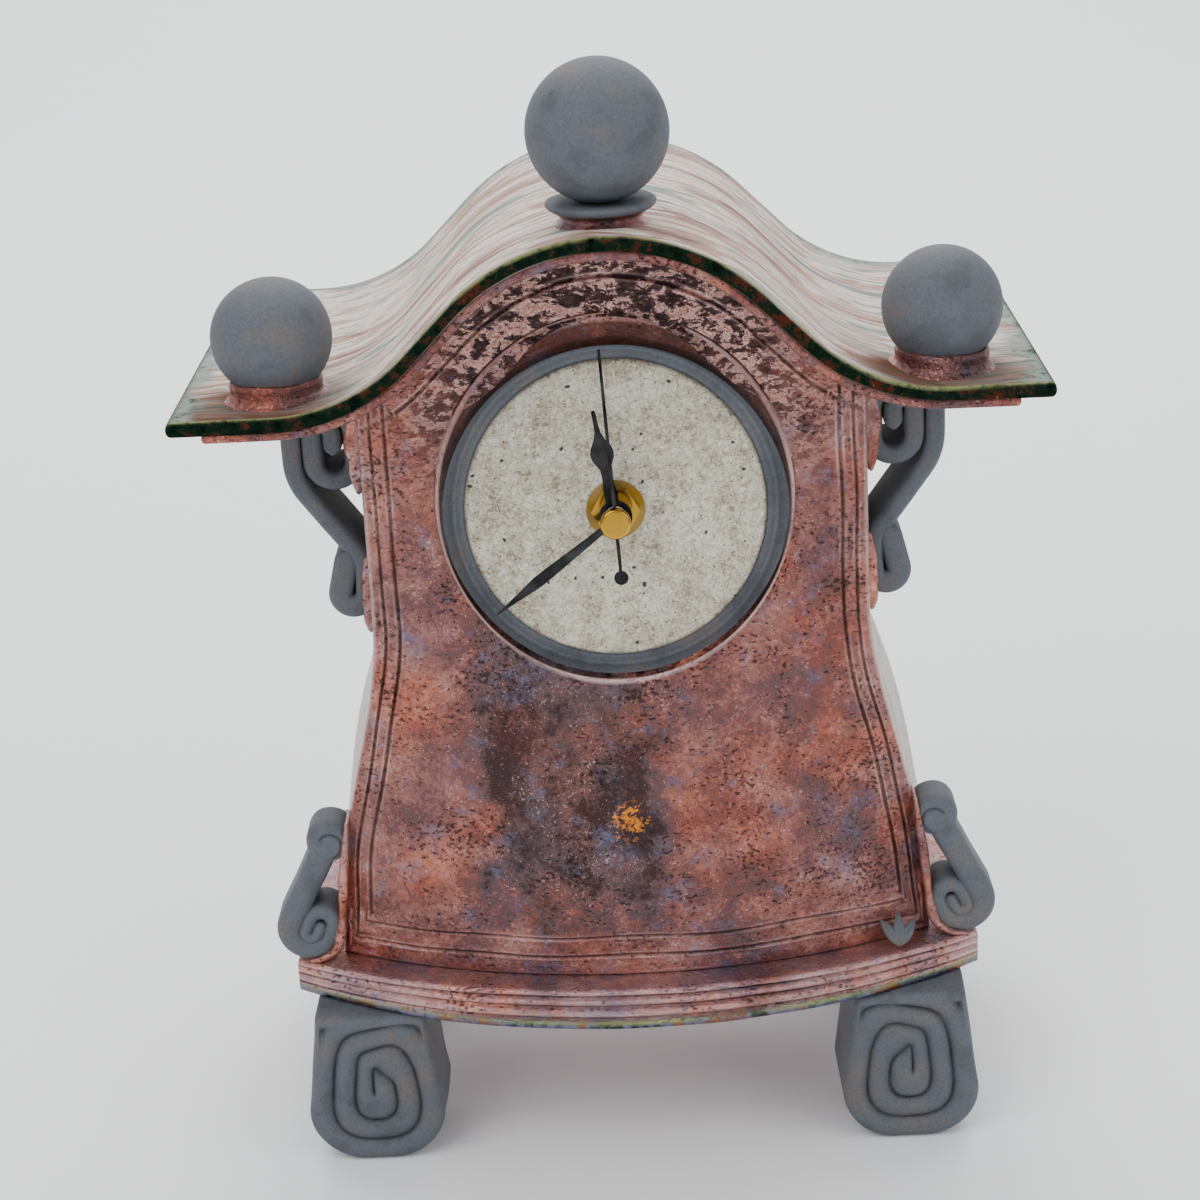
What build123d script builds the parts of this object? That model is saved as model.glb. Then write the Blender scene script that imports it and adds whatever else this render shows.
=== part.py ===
from build123d import *
import os
from math import atan2, cos, degrees, hypot, pi, radians, sin, sqrt

# A slab-built ceramic mantel clock: a flared body under an ogee roof with ball finials,
# coiled scroll brackets and feet, and a quartz movement behind a porthole dial.
# Millimetres and degrees. +Z is up, the dial looks towards -Y, and the origin lies on
# the table under the middle of the clock.

# Body
panel_edge_y = -36.0
body_depth = 85.0
wall = 6.0
foot_height = 44.0
base_thickness = 9.4
wall_height = 153.2
waist_half_width = 64.0
waist_rise = 96.6
flare_half_width = 74.0
flare_rise = 43.6
bottom_half_width = 79.4
back_spread = 7.0
panel_bow = 19.5
access_width = 84.0
access_sill_rise = 64.0
access_height = 100.0

# Roof, an ogee of two arcs with flat wings
roof_half_width = 106.8
roof_front_overhang = 28.0
roof_back_overhang = 19.0
roof_thickness = 3.8
lining_thickness = 2.6
lining_inset = 8.0
roof_rise = 40.4
crown_radius = 55.0
valley_radius = 45.0
roof_slope = 45.0

# Base slab with a moulded, bowed front edge
base_half_width = 92.0
base_end_step = 3.0
base_back_lip = 7.0
ledge_depth = 12.5
fillet_height = 2.6
groove_height = 1.4
groove_depth = 1.5
bead_height = 3.0
bead_setback = 1.0
step_setback = 3.0

# Ball finials and the clay rings that they sit in
apex_ball_radius = 17.3
apex_ball_rise = 21.6
pedestal_foot_radius = 10.0
pedestal_rim_radius = 13.0
pedestal_rise = 8.1
side_ball_radius = 14.8
side_ball_rise = 15.3
collar_radius = 12.0
collar_rise = 5.5
ball_setback = 19.0

# Upper scroll brackets, coiled from one strip between the eave and the body
scroll_width = 4.4
scroll_pitch = 5.35
scroll_depth = 22.0
scroll_setback = 7.0
spiral_drop = 16.0
tongue_rise = 3.4
tongue_length = 1.4
eave_press = 0.8
stem_bend_radius = 16.0
stem_lean = 36.0
stem_end_radius = 10.0
leaf_run = 6.0
leaf_radius = 3.3
leaf_lean = 14.0
leaf_return = 8.5

# Lower scroll brackets, a knob and a coil joined by a stem
coil_radius = 9.2
coil_seat = 0.2
hook_depth = 14.0
hook_setback = 5.0
hook_stem_width = 7.0
knob_radius = 5.4
knob_seat = 0.3
knob_rise = 35.1

# Feet, rolled from a clay strip
foot_inset = 20.0
foot_top_half_width = 14.75
foot_wide_half_width = 18.25
foot_wide_height = 16.0
foot_depth = 28.0
front_foot_y = -42.0
rear_foot_y = 38.0

# Spiral creases pressed into the coiled ends
crease_width = 1.0
crease_depth = 4.0

# Leaf sprig on the ledge
sprig_inset = 9.4
leaf_length = 9.0
leaf_half_width = 2.4
leaf_thickness = 2.4
leaf_spread = 34.0
sprig_lean = 48.0

# Dial, set square to the leaning front panel
dial_rise = 123.6
dial_recess = 6.9
porthole_width = 88.5
porthole_height = 92.9
porthole_offset = 3.95
porthole_slant = 6.0
porthole_taper = 4.2
face_radius = 38.5
face_thickness = 1.5
plate_radius = 53.0
plate_thickness = 5.0
plate_rim_width = 5.0
plate_rim_height = 6.0
hub_hole_radius = 4.3

# Movement case
case_half_width = 28.0
case_top = 22.0
case_bottom = -34.0
case_depth = 16.0
case_wall = 1.5
bay_wall = 1.2
bay_height = 15.0
rubber_thickness = 0.8
rubber_radius = 9.0

# Hub stack in front of the dial
bush_radius = 4.0
bush_bore_radius = 3.0
bush_reach = 7.4
bush_flange_radius = 5.5
bush_flange_thickness = 0.8
washer_radius = 7.5
washer_thickness = 0.6
nut_across_flats = 10.8
nut_thickness = 2.0
shaft_clearance = 0.1
pipe_wall = 0.85
second_arbor_radius = 0.5

# Hands: lengths from the hub, turned clockwise from twelve
hand_thickness = 0.6
hour_hand_length = 27.6
hour_hand_angle = 350.7
hour_stem_half_width = 1.75
hour_bulb_radius = 3.0
hour_bulb_reach = 16.5
hour_tip_half_width = 0.6
hour_boss_radius = 4.2
hour_level = 8.2
minute_hand_length = 38.7
minute_hand_angle = 233.3
minute_half_width = 1.5
minute_wide_reach = 25.5
minute_boss_radius = 2.9
minute_level = 11.6
second_hand_length = 43.5
second_hand_angle = 357.1
second_half_width = 0.45
second_tail_length = 14.4
second_weight_radius = 1.8
second_level = 14.0
cap_radius = 3.85
cap_height = 2.8
boss_rise = 0.8

# Wheel train: six layers of wheels behind the dial
wheel_width = 1.2
layer_pitch = 1.7
first_layer_gap = 1.2
hour_teeth = 40
reverser_pinion_teeth = 10
reverser_teeth = 36
cannon_teeth = 12
reverser_distance = 12.0
reverser_bearing = -20.0
centre_teeth = 64
third_pinion_teeth = 8
third_teeth = 60
second_pinion_teeth = 8
third_distance = 10.88
third_bearing = 185.0
second_teeth = 50
step_pinion_teeth = 10
step_distance = 10.8
step_bearing = 60.0
step_teeth = 60
rotor_pinion_teeth = 10
rotor_distance = 9.8
rotor_bearing = 20.0
pin_radius = 0.35
pin_clearance = 0.1
post_radius = 0.7
reverser_arbor_radius = 1.0
tooth_tip_share = 0.16
tooth_root_share = 0.46
addendum = 0.9
dedendum = 1.25

# Stepping motor, circuit board, battery and setting knob
magnet_radius = 3.0
magnet_length = 4.0
stator_thickness = 1.0
stator_bar = 2.0
stator_low_y = 10.6
stator_left_x = -23.0
stator_ring_radius = 5.2
stator_air_gap = 0.5
core_y = 17.0
coil_winding_radius = 3.1
coil_flange_radius = 3.4
coil_flange_width = 0.8
coil_start_x = -20.0
coil_end_x = 8.0
core_clearance = 0.1
board_width = 5.0
board_length = 22.0
board_low_y = -14.0
board_thickness = 1.0
battery_radius = 7.25
battery_body_length = 49.0
battery_nub_radius = 2.7
battery_nub_length = 1.4
battery_clearance = 0.2
contact_thickness = 0.4
contact_half_width = 4.0
knob_disc_radius = 7.0
knob_disc_thickness = 3.6
knob_teeth = 24
knob_gap = 0.4

# Worked-out levels and planes
body_bottom = foot_height + base_thickness
eave = body_bottom + wall_height
wing_top = eave + lining_thickness + roof_thickness
roof_top = wing_top + roof_rise
back_y = panel_edge_y + body_depth
roof_front_y = panel_edge_y - roof_front_overhang
roof_back_y = back_y + roof_back_overhang
base_back_y = back_y + base_back_lip
lean = atan2(panel_bow, roof_top - body_bottom)
slope = radians(roof_slope)
flank_rise = roof_rise - (crown_radius + valley_radius) * (1 - cos(slope))
valley_x = (crown_radius + valley_radius) * sin(slope) + flank_rise * cos(slope) / sin(slope)
foot_x = base_half_width - foot_inset
sprig_x = bottom_half_width - sprig_inset
panel_radius = (bottom_half_width**2 + panel_bow**2) / (2 * panel_bow)
roof_depth = roof_back_y - roof_front_y
far = 2 * roof_depth


def panel_front_y(x, height):
    """Depth of the bowed front panel: a full arc in plan at its foot, flat at the roof top."""
    arc = panel_radius - sqrt(panel_radius**2 - x**2) - panel_bow
    return panel_edge_y + arc * (roof_top - height) / (roof_top - body_bottom)


dial_surface_z = body_bottom + dial_rise + dial_recess * sin(lean)
dial_y = panel_front_y(0, dial_surface_z) + dial_recess * cos(lean)
dial_plane = Plane(
    origin=(0, dial_y, body_bottom + dial_rise),
    x_dir=(1, 0, 0),
    z_dir=(0, -cos(lean), sin(lean)),
)


def polar(distance, bearing):
    """A point at a distance and a bearing in degrees, counted from +X."""
    return (distance * cos(radians(bearing)), distance * sin(radians(bearing)))


reverser_axis = polar(reverser_distance, reverser_bearing)
third_axis = polar(third_distance, third_bearing)
step_axis = polar(step_distance, step_bearing)
rotor_offset = polar(rotor_distance, rotor_bearing)
rotor_axis = (step_axis[0] + rotor_offset[0], step_axis[1] + rotor_offset[1])

plate_back = -face_thickness - plate_thickness
case_front = plate_back - rubber_thickness
case_inner = case_front - case_wall
cover_inner = case_front - case_depth + case_wall
case_back = case_front - case_depth
hour_pipe_radius = bush_bore_radius - shaft_clearance
minute_pipe_radius = hour_pipe_radius - pipe_wall - shaft_clearance
bay_floor = case_bottom + case_wall
bay_roof = bay_floor + bay_height
inner_half_width = case_half_width - case_wall
stator_z = case_inner - first_layer_gap - 2.5 * layer_pitch - wheel_width / 2


def layer(number):
    """Front of a wheel layer, counted from the dial side."""
    return case_inner - first_layer_gap - number * layer_pitch


def solid_between(low, high, bottom, top):
    """A box from its low and high corner in plan and its two levels."""
    size = (high[0] - low[0], high[1] - low[1], top - bottom)
    middle = ((low[0] + high[0]) / 2, (low[1] + high[1]) / 2, (bottom + top) / 2)
    return Pos(*middle) * Box(*size)


def rod(radius, bottom, top, at=(0, 0)):
    """A round bar along the local Z axis."""
    return Pos(at[0], at[1], (bottom + top) / 2) * Cylinder(radius, top - bottom)


def slab(face, depth):
    """A face drawn in the XZ plane, pushed back by a depth."""
    return extrude(face, amount=depth, dir=(0, 1, 0))


def face_of(runs):
    """A flat face inside a closed run of curves."""
    return Face(Wire([edge for run in runs for edge in run.edges()]))


# Body outlines


def side_curve(inset, spread, y, sign):
    """One side of the body: upright to the waist, then flaring to the foot."""
    waist = waist_half_width - inset
    flare = flare_half_width - inset + spread * (1 - flare_rise / waist_rise)
    foot = bottom_half_width - inset + spread
    top = (sign * waist, y, roof_top)
    middle = (sign * waist, y, body_bottom + waist_rise)
    low = (sign * flare, y, body_bottom + flare_rise)
    bottom = (sign * foot, y, body_bottom)
    foot_run = (sign * (foot - flare) / flare_rise * 0.8, 0, -1)
    return [Line(top, middle), Spline(middle, low, bottom, tangents=[(0, 0, -1), foot_run])]


def side_x(height):
    """Half width of the body's front at a height on the flare, found by halving its curve."""
    flare = side_curve(0, 0, 0, 1)[1]
    low, high = 0.0, 1.0
    for _ in range(30):
        middle = (low + high) / 2
        if (flare @ middle).Z > height:
            low = middle
        else:
            high = middle
    return (flare @ low).X


def body_outline(inset, spread, y):
    """The whole body outline in a plane of constant depth."""
    left = side_curve(inset, spread, y, -1)
    right = side_curve(inset, spread, y, 1)
    across = [Line(left[0] @ 0, right[0] @ 0), Line(left[1] @ 1, right[1] @ 1)]
    return face_of(left + right + across)


def body_volume(inset):
    """The body filled in, widening towards the back."""
    front = body_outline(inset, 0, panel_edge_y)
    return loft([front, body_outline(inset, back_spread, back_y)], ruled=True)


def roof_line(drop, half_width, y):
    """The ogee, moved in by a drop: wing, valley arc, flank and crown arc, mirrored."""
    crown_z = roof_top - crown_radius
    valley_z = wing_top + valley_radius
    crown = crown_radius - drop
    valley = valley_radius + drop

    def on_crown(angle):
        return (crown * sin(angle), y, crown_z + crown * cos(angle))

    def on_valley(angle, sign):
        return (sign * (valley_x - valley * sin(angle)), y, valley_z - valley * cos(angle))

    edges = [ThreePointArc(on_crown(-slope), on_crown(0), on_crown(slope))]
    for sign in (-1, 1):
        wing = (sign * half_width, y, wing_top - drop)
        edges.append(Line(on_crown(sign * slope), on_valley(slope, sign)))
        arc = [on_valley(slope * share, sign) for share in (1, 0.5, 0)]
        edges.append(ThreePointArc(*arc))
        edges.append(Line(on_valley(0, sign), wing))
    return edges


def roof_layer(top_drop, bottom_drop, half_width, front, back):
    """A slab of clay bent to the ogee, between two drops from the roof's top."""
    edges = roof_line(top_drop, half_width, front) + roof_line(bottom_drop, half_width, front)
    for sign in (-1, 1):
        ends = [(sign * half_width, front, wing_top - drop) for drop in (top_drop, bottom_drop)]
        edges.append(Line(*ends))
    return slab(face_of(edges), back - front)


def under_roof():
    """All the room below the roof lining."""
    drop = roof_thickness + lining_thickness
    edges = roof_line(drop, far, -far)
    left, right = (-far, -far, wing_top - drop), (far, -far, wing_top - drop)
    low_left, low_right = (-far, -far, -far), (far, -far, -far)
    edges += [Line(left, low_left), Line(low_left, low_right), Line(low_right, right)]
    return slab(face_of(edges), 2 * far)


def bowed_section(height, near, distant, half_width):
    """A level slice of the front panel, from one depth behind its face to another."""

    def run(setback):
        end_y = panel_front_y(half_width, height) + setback
        ends = [(-half_width, end_y, height), (half_width, end_y, height)]
        middle = (0, panel_front_y(0, height) + setback, height)
        if height < roof_top:
            return ThreePointArc(ends[0], middle, ends[1])
        return Line(*ends)

    front, back = run(near), run(distant)
    return face_of([front, back, Line(front @ 0, back @ 0), Line(front @ 1, back @ 1)])


def bowed_slab(near, distant):
    """The front panel's curved sheet: a ruled surface from the bowed foot to the flat top."""
    half_width = bottom_half_width + 2 * wall
    sections = [bowed_section(z, near, distant, half_width) for z in (body_bottom, roof_top)]
    return loft(sections, ruled=True)


# Case pieces

roof_room = under_roof()
outer_volume = body_volume(0)
inner_volume = body_volume(wall)
front_sheet = bowed_slab(0, wall)
front_room = bowed_slab(-far, wall)
front_block = slab(body_outline(0, 0, panel_edge_y - far), 2 * far)


def porthole():
    """The slanting cut of the porthole, higher at the front than behind."""
    reach = 2 * wall

    def ring(depth):
        share = (dial_recess - depth) / wall
        height = porthole_height - porthole_taper * share
        return Pos(0, porthole_offset - porthole_slant * share, depth) * Ellipse(porthole_width / 2, height / 2)

    return dial_plane * loft([ring(dial_recess + reach), ring(dial_recess - reach)], ruled=True)


def make_front_panel():
    return (front_sheet & front_block & roof_room) - porthole()


def make_side_panel():
    """The right wall, between the bowed panel and the back of the body."""
    half = Pos(far / 2, 0, far / 2) * Box(far, 2 * far, far)
    ring = (outer_volume - inner_volume) & half
    return (ring & roof_room) - front_room


def make_back_panel():
    """A slab between the side walls, with an arched opening to reach the movement."""
    sheet = Pos(0, back_y - wall / 2, roof_top / 2) * Box(far, wall, far)
    sill = body_bottom + access_sill_rise
    radius = access_width / 2
    straight = access_height - radius
    opening = Pos(0, back_y, sill + straight / 2) * Box(access_width, 3 * wall, straight)
    arch = Pos(0, back_y, sill + straight) * Rot(90, 0, 0) * Cylinder(radius, 3 * wall)
    return (sheet & inner_volume & roof_room) - opening - arch


def base_layer(bottom, height, setback):
    """A level of the base slab whose front bows out less by the setback."""
    end_y = panel_edge_y - base_end_step
    middle_y = panel_edge_y - panel_bow - ledge_depth + setback
    front = ThreePointArc((-base_half_width, end_y), (0, middle_y), (base_half_width, end_y))
    corners = [front @ 1, (base_half_width, base_back_y), (-base_half_width, base_back_y), front @ 0]
    return Pos(0, 0, bottom) * extrude(face_of([front, Polyline(*corners)]), amount=height)


def make_base_slab():
    groove_bottom = foot_height + fillet_height
    bead_bottom = groove_bottom + groove_height
    step_bottom = bead_bottom + bead_height
    fillet = base_layer(foot_height, fillet_height, 0)
    groove = base_layer(groove_bottom, groove_height, bead_setback + groove_depth)
    bead = base_layer(bead_bottom, bead_height, bead_setback)
    step = base_layer(step_bottom, body_bottom - step_bottom, step_setback)
    return fillet + groove + bead + step


def make_roof_slab():
    return roof_layer(0, roof_thickness, roof_half_width, roof_front_y, roof_back_y)


def make_roof_lining():
    drop = roof_thickness + lining_thickness
    front = roof_front_y + lining_thickness
    back = roof_back_y - lining_inset
    return roof_layer(roof_thickness, drop, roof_half_width - lining_inset, front, back)


# Finials

roof_slab = make_roof_slab()
ball_y = roof_front_y + ball_setback
apex_ball = Pos(0, ball_y, roof_top + apex_ball_rise) * Sphere(apex_ball_radius)
right_ball = Pos(valley_x, ball_y, wing_top + side_ball_rise) * Sphere(side_ball_radius)


def make_pedestal():
    """A flared clay foot, fitted over the crown below and cupped for the ball above."""
    root = roof_top - roof_thickness
    cone = Cone(pedestal_foot_radius, pedestal_rim_radius, pedestal_rise)
    foot = rod(pedestal_foot_radius, root, roof_top)
    flared = foot + Pos(0, 0, roof_top + pedestal_rise / 2) * cone
    return Pos(0, ball_y) * flared - roof_slab - apex_ball


def make_collar():
    ring = rod(collar_radius, wing_top, wing_top + collar_rise, (valley_x, ball_y))
    return ring - roof_slab - right_ball


# Coiled clay pieces


def chain(start, heading, moves):
    """A path of straight runs, given as (length, 0), and tangent arcs, as (radius, turn)."""
    edges = []
    point, direction = Vector(*start), Vector(*heading)
    for size, turn in moves:
        if turn == 0:
            edge = Line(point, point + direction * size)
        else:
            edge = JernArc(point, direction, size, turn)
        edges.append(edge)
        point, direction = edge @ 1, edge % 1
    return edges


def strip(path, width):
    """A strip of clay along a path, rounded at both ends."""
    sheet = Sketch()
    for edge in path:
        sheet += trace(edge, width)
    for end in (path[0] @ 0, path[-1] @ 1):
        sheet += Pos(end.X, end.Y) * Circle(width / 2)
    return sheet


def upright(sketch, front, depth):
    """A sketch of (across, height) stood up with its front at a given depth."""
    return extrude(Plane((0, front, 0), x_dir=(1, 0, 0), z_dir=(0, -1, 0)) * sketch, amount=-depth)


def spiral(middle, start_radius, end_radius, start_angle, turns, squeeze=1.0, taper=0.0):
    """A crease that winds inwards at a steady rate; taper narrows it towards the top."""
    steps = int(12 * abs(turns)) + 1
    points = []
    for step in range(steps + 1):
        share = step / steps
        angle = radians(start_angle) + 2 * pi * turns * share
        radius = start_radius + (end_radius - start_radius) * share
        across = radius * squeeze * cos(angle) * (1 - taper * sin(angle))
        points.append((middle[0] + across, middle[1] + radius * sin(angle)))
    return Spline(*points)


def press_crease(body, crease, front, depth):
    """The body with a crease pressed into its front and back ends."""
    line = trace(crease, crease_width)
    near = upright(line, front - crease_width, crease_depth + crease_width)
    rear = upright(line, front + depth - crease_depth, crease_depth + crease_width)
    return body - near - rear


def make_upper_bracket():
    """An S-scroll: a coil under the eave, a leaning stem and a leaf loop against the wall."""
    wall_x = waist_half_width + scroll_width / 2
    stem_x = wall_x + 3 * scroll_pitch
    turn_z = eave - spiral_drop
    arch_z = eave + eave_press - scroll_width / 2 - 1.5 * scroll_pitch
    swing = 1 - cos(radians(stem_lean))
    reach = stem_x - wall_x - (stem_bend_radius + stem_end_radius) * swing
    moves = [
        (tongue_length, 0),
        (scroll_pitch / 2, -180),
        (tongue_rise, 0),
        (scroll_pitch, -180),
        (arch_z - turn_z, 0),
        (1.5 * scroll_pitch, -180),
        (arch_z - turn_z, 0),
        (stem_bend_radius, -stem_lean),
        (reach / sin(radians(stem_lean)), 0),
        (stem_end_radius, stem_lean),
        (leaf_run, 0),
        (leaf_radius, 180 + leaf_lean),
        (leaf_return, 0),
    ]
    start = (wall_x + scroll_pitch, turn_z + tongue_rise - tongue_length)
    sheet = strip(chain(start, (0, 1), moves), scroll_width)
    coil = upright(sheet, panel_edge_y + scroll_setback, scroll_depth)
    return (coil & roof_room) - outer_volume - front_block


def make_lower_bracket():
    """A hook standing on the base slab: a coil, a leaning stem and a knob at the wall."""
    coil_z = body_bottom + coil_radius
    knob_z = body_bottom + knob_rise
    middle = (side_x(coil_z) + coil_radius - coil_seat, coil_z)
    knob = (side_x(knob_z) + knob_radius - knob_seat, knob_z)
    run = (middle[0] - knob[0], middle[1] - knob[1])
    span = hypot(*run)
    edge = coil_radius - hook_stem_width / 2
    tangent = atan2(run[1], run[0]) + atan2(edge, sqrt(span**2 - edge**2))
    length = sqrt(span**2 - edge**2)
    end = (knob[0] + length * cos(tangent), knob[1] + length * sin(tangent))
    shape = trace(Line(knob, end), hook_stem_width)
    shape += Pos(*middle) * Circle(coil_radius)
    shape += Pos(*knob) * Circle(knob_radius)
    front = panel_edge_y - hook_setback
    hook = upright(shape, front, hook_depth)
    crease = spiral(middle, coil_radius * 0.62, coil_radius * 0.12, 110, -1.6)
    return press_crease(hook, crease, front, hook_depth) - outer_volume - front_block


def make_foot(y):
    """A pear-shaped roll of clay with a flat tread, standing at +X."""
    side = (foot_wide_half_width - foot_top_half_width, foot_wide_height - foot_height)
    tilt = atan2(side[0], -side[1])
    radius = foot_wide_height / (1 + sin(tilt))
    shape = []
    for sign in (-1, 1):
        top = (sign * foot_top_half_width, foot_height)
        wide = (sign * foot_wide_half_width, foot_wide_height)
        shape.append(Line(top, wide))
        shape.append(JernArc(wide, (sign * side[0], side[1]), radius, -sign * (90 + degrees(tilt))))
    shape.append(Line(shape[0] @ 0, shape[2] @ 0))
    shape.append(Line(shape[1] @ 1, shape[3] @ 1))
    front = y - foot_depth / 2
    roll = upright(face_of(shape), front, foot_depth)
    middle = (0, foot_height * 0.42)
    crease = spiral(middle, foot_height * 0.36, foot_height * 0.05, 100, -2.15, 0.72, 0.22)
    return Pos(foot_x, 0, 0) * press_crease(roll, crease, front, foot_depth)


def make_sprig(front_panel, base_slab):
    """Three clay leaves fanned from one point, leaning between the ledge and the panel."""
    bulge = (leaf_length**2 / 4 + leaf_half_width**2) / (2 * leaf_half_width)
    sheet = Sketch()
    for turn in (-1, 0, 1):
        sides = [RadiusArc((0, 0), (0, leaf_length), sign * bulge) for sign in (-1, 1)]
        sheet += Rot(0, 0, turn * leaf_spread) * face_of(sides)
    sheet += Circle(leaf_half_width / 2)
    leaves = extrude(sheet, amount=leaf_thickness)
    root = panel_front_y(sprig_x, body_bottom) - leaf_length * cos(radians(sprig_lean))
    placed = Pos(sprig_x, root, body_bottom) * Rot(sprig_lean, 0, 0) * leaves
    return placed - front_panel - base_slab


# Dial


def make_dial_plate():
    """A shallow round dish; its rim meets the curved back of the front panel."""
    rim = rod(plate_radius, plate_back, plate_rim_height)
    dish = rod(plate_radius - plate_rim_width, -face_thickness, plate_rim_height)
    hole = rod(hub_hole_radius, plate_back - wall, wall)
    return dial_plane * (rim - dish - hole) - front_room


def make_dial_face():
    disc = rod(face_radius, -face_thickness, 0)
    edge = disc.edges().filter_by(GeomType.CIRCLE).sort_by(Axis.Z)[-1]
    return dial_plane * (fillet(edge, face_thickness * 0.8) - rod(hub_hole_radius, -wall, wall))


# Hub and hands


def make_bush():
    """The threaded tube that clamps the movement through the dial."""
    tube = rod(bush_radius, case_inner, bush_reach)
    flange = rod(bush_flange_radius, case_inner - bush_flange_thickness, case_inner)
    return dial_plane * (tube + flange - rod(bush_bore_radius, case_inner - wall, bush_reach + wall))


def ring(outer, inner, bottom, top):
    """A flat washer."""
    return rod(outer, bottom, top) - rod(inner, bottom - wall, top + wall)


def make_nut():
    top = washer_thickness + nut_thickness
    hexagon = extrude(RegularPolygon(nut_across_flats / 2, 6, major_radius=False), amount=nut_thickness)
    hole = rod(bush_radius, -wall, top + wall)
    return dial_plane * (Pos(0, 0, washer_thickness) * hexagon - hole)


def blade(points, level):
    """A flat hand from the outline of its right-hand side, mirrored."""
    left = [(-x, y) for x, y in reversed(points)]
    return Pos(0, 0, level) * extrude(face_of([Polyline(*points, *left, close=True)]), amount=hand_thickness)


def aim(hand, angle):
    """A hand turned clockwise from twelve and set on the dial."""
    return dial_plane * Rot(0, 0, -angle) * hand


def make_hour_hand():
    """A spade hand: tapering stem, round bulb and rod tip."""
    taper = hour_bulb_reach - hour_bulb_radius
    tip = (hour_tip_half_width, hour_hand_length)
    stem = [(hour_stem_half_width, 0), (hour_tip_half_width, taper), tip]
    hand = blade(stem, hour_level)
    hand += rod(hour_bulb_radius, hour_level, hour_level + hand_thickness, (0, hour_bulb_reach))
    hand += rod(hour_boss_radius, hour_level, hour_level + boss_rise + hand_thickness)
    return aim(hand - rod(hour_pipe_radius, 0, 2 * hour_level), hour_hand_angle)


def make_minute_hand():
    """A leaf hand, widest at two thirds of its length."""
    tip = minute_half_width / 6
    wide = (minute_half_width, minute_wide_reach)
    side = [(minute_half_width * 0.6, 0), wide, (tip, minute_hand_length)]
    hand = blade(side, minute_level)
    hand += rod(minute_boss_radius, minute_level, minute_level + boss_rise + hand_thickness)
    return aim(hand - rod(minute_pipe_radius, 0, 2 * minute_level), minute_hand_angle)


def make_second_hand():
    """A needle with a round counterweight on its tail."""
    side = [(second_half_width, -second_tail_length), (second_half_width, second_hand_length)]
    hand = blade(side, second_level)
    top = second_level + hand_thickness
    hand += rod(second_weight_radius, second_level, top, (0, -second_tail_length))
    hand += rod(2 * second_arbor_radius + second_half_width, second_level, top)
    return aim(hand - rod(second_arbor_radius, 0, 2 * second_level), second_hand_angle)


def make_hand_cap():
    """A brass cap with a softened rim, pressed on the end of the seconds arbor."""
    bottom = second_level + hand_thickness
    cap = rod(cap_radius, bottom, bottom + cap_height)
    rim = cap.edges().filter_by(GeomType.CIRCLE).sort_by(Axis.Z)[-1]
    return dial_plane * (fillet(rim, cap_height / 4) - rod(second_arbor_radius, 0, bottom + cap_height / 2))


# Wheel train


def gear(teeth, module, front, phase, width=wheel_width):
    """A toothed disc whose first tooth points along the phase, in degrees."""
    pitch_radius = teeth * module / 2
    tip, root = pitch_radius + addendum * module, pitch_radius - dedendum * module
    step = 360 / teeth
    points = []
    rising = [(root, -tooth_root_share), (tip, -tooth_tip_share)]
    flanks = rising + [(tip, tooth_tip_share), (root, tooth_root_share)]
    for number in range(teeth):
        middle = phase + number * step
        points += [polar(radius, middle + share * step / 2) for radius, share in flanks]
    return Pos(0, 0, front - width) * extrude(face_of([Polyline(*points, close=True)]), amount=width)


def facing(bearing, teeth):
    """The phase that turns a gap towards a mate lying along a bearing from it."""
    return bearing + 180 / teeth


hour_module = 2 * reverser_distance / (hour_teeth + reverser_pinion_teeth)
cannon_module = 2 * reverser_distance / (cannon_teeth + reverser_teeth)
centre_module = 2 * third_distance / (centre_teeth + third_pinion_teeth)
third_module = 2 * third_distance / (third_teeth + second_pinion_teeth)
second_module = 2 * step_distance / (second_teeth + step_pinion_teeth)
step_module = 2 * rotor_distance / (step_teeth + rotor_pinion_teeth)
pin_hole = pin_radius + pin_clearance


def make_hour_wheel():
    """The hour wheel and its pipe, which runs in the bush and carries the hour hand."""
    wheel = gear(hour_teeth, hour_module, layer(0), reverser_bearing)
    pipe = rod(hour_pipe_radius, layer(0) - wheel_width, hour_level + boss_rise + hand_thickness)
    bore = rod(hour_pipe_radius - pipe_wall, case_back, 2 * minute_level)
    return dial_plane * (wheel + pipe - bore)


def make_minute_arbor():
    """The cannon pinion and its pipe, inside the hour pipe."""
    pinion = gear(cannon_teeth, cannon_module, layer(1), reverser_bearing)
    pipe = rod(minute_pipe_radius, layer(2) - wheel_width, minute_level + boss_rise + hand_thickness)
    bore = rod(second_arbor_radius + shaft_clearance, case_back, 2 * second_level)
    return dial_plane * (pinion + pipe - bore)


def make_centre_wheel():
    """The wheel that drives the cannon pinion through a friction fit."""
    wheel = gear(centre_teeth, centre_module, layer(2), third_bearing)
    return dial_plane * (wheel - rod(minute_pipe_radius + pin_clearance, case_back, 0))


def make_second_arbor():
    """The seconds wheel and pinion on the arbor that runs through both pipes."""
    tip = second_level + hand_thickness + cap_height / 2
    arbor = rod(second_arbor_radius, cover_inner - case_wall / 2, tip)
    pinion = gear(second_pinion_teeth, third_module, layer(3), third_bearing)
    wheel = gear(second_teeth, second_module, layer(4), step_bearing)
    hub = rod(2 * second_arbor_radius, layer(4), layer(3) - wheel_width)
    return dial_plane * (arbor + pinion + wheel + hub)


def make_third_wheel():
    phase = third_bearing + 180
    wheel = gear(third_teeth, third_module, layer(3), facing(phase, third_teeth))
    pinion = gear(third_pinion_teeth, centre_module, layer(2), facing(phase, third_pinion_teeth))
    hub = rod(2 * pin_hole, layer(3), layer(2) - wheel_width)
    return dial_plane * Pos(*third_axis) * (wheel + pinion + hub - rod(pin_hole, case_back, 0))


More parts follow.
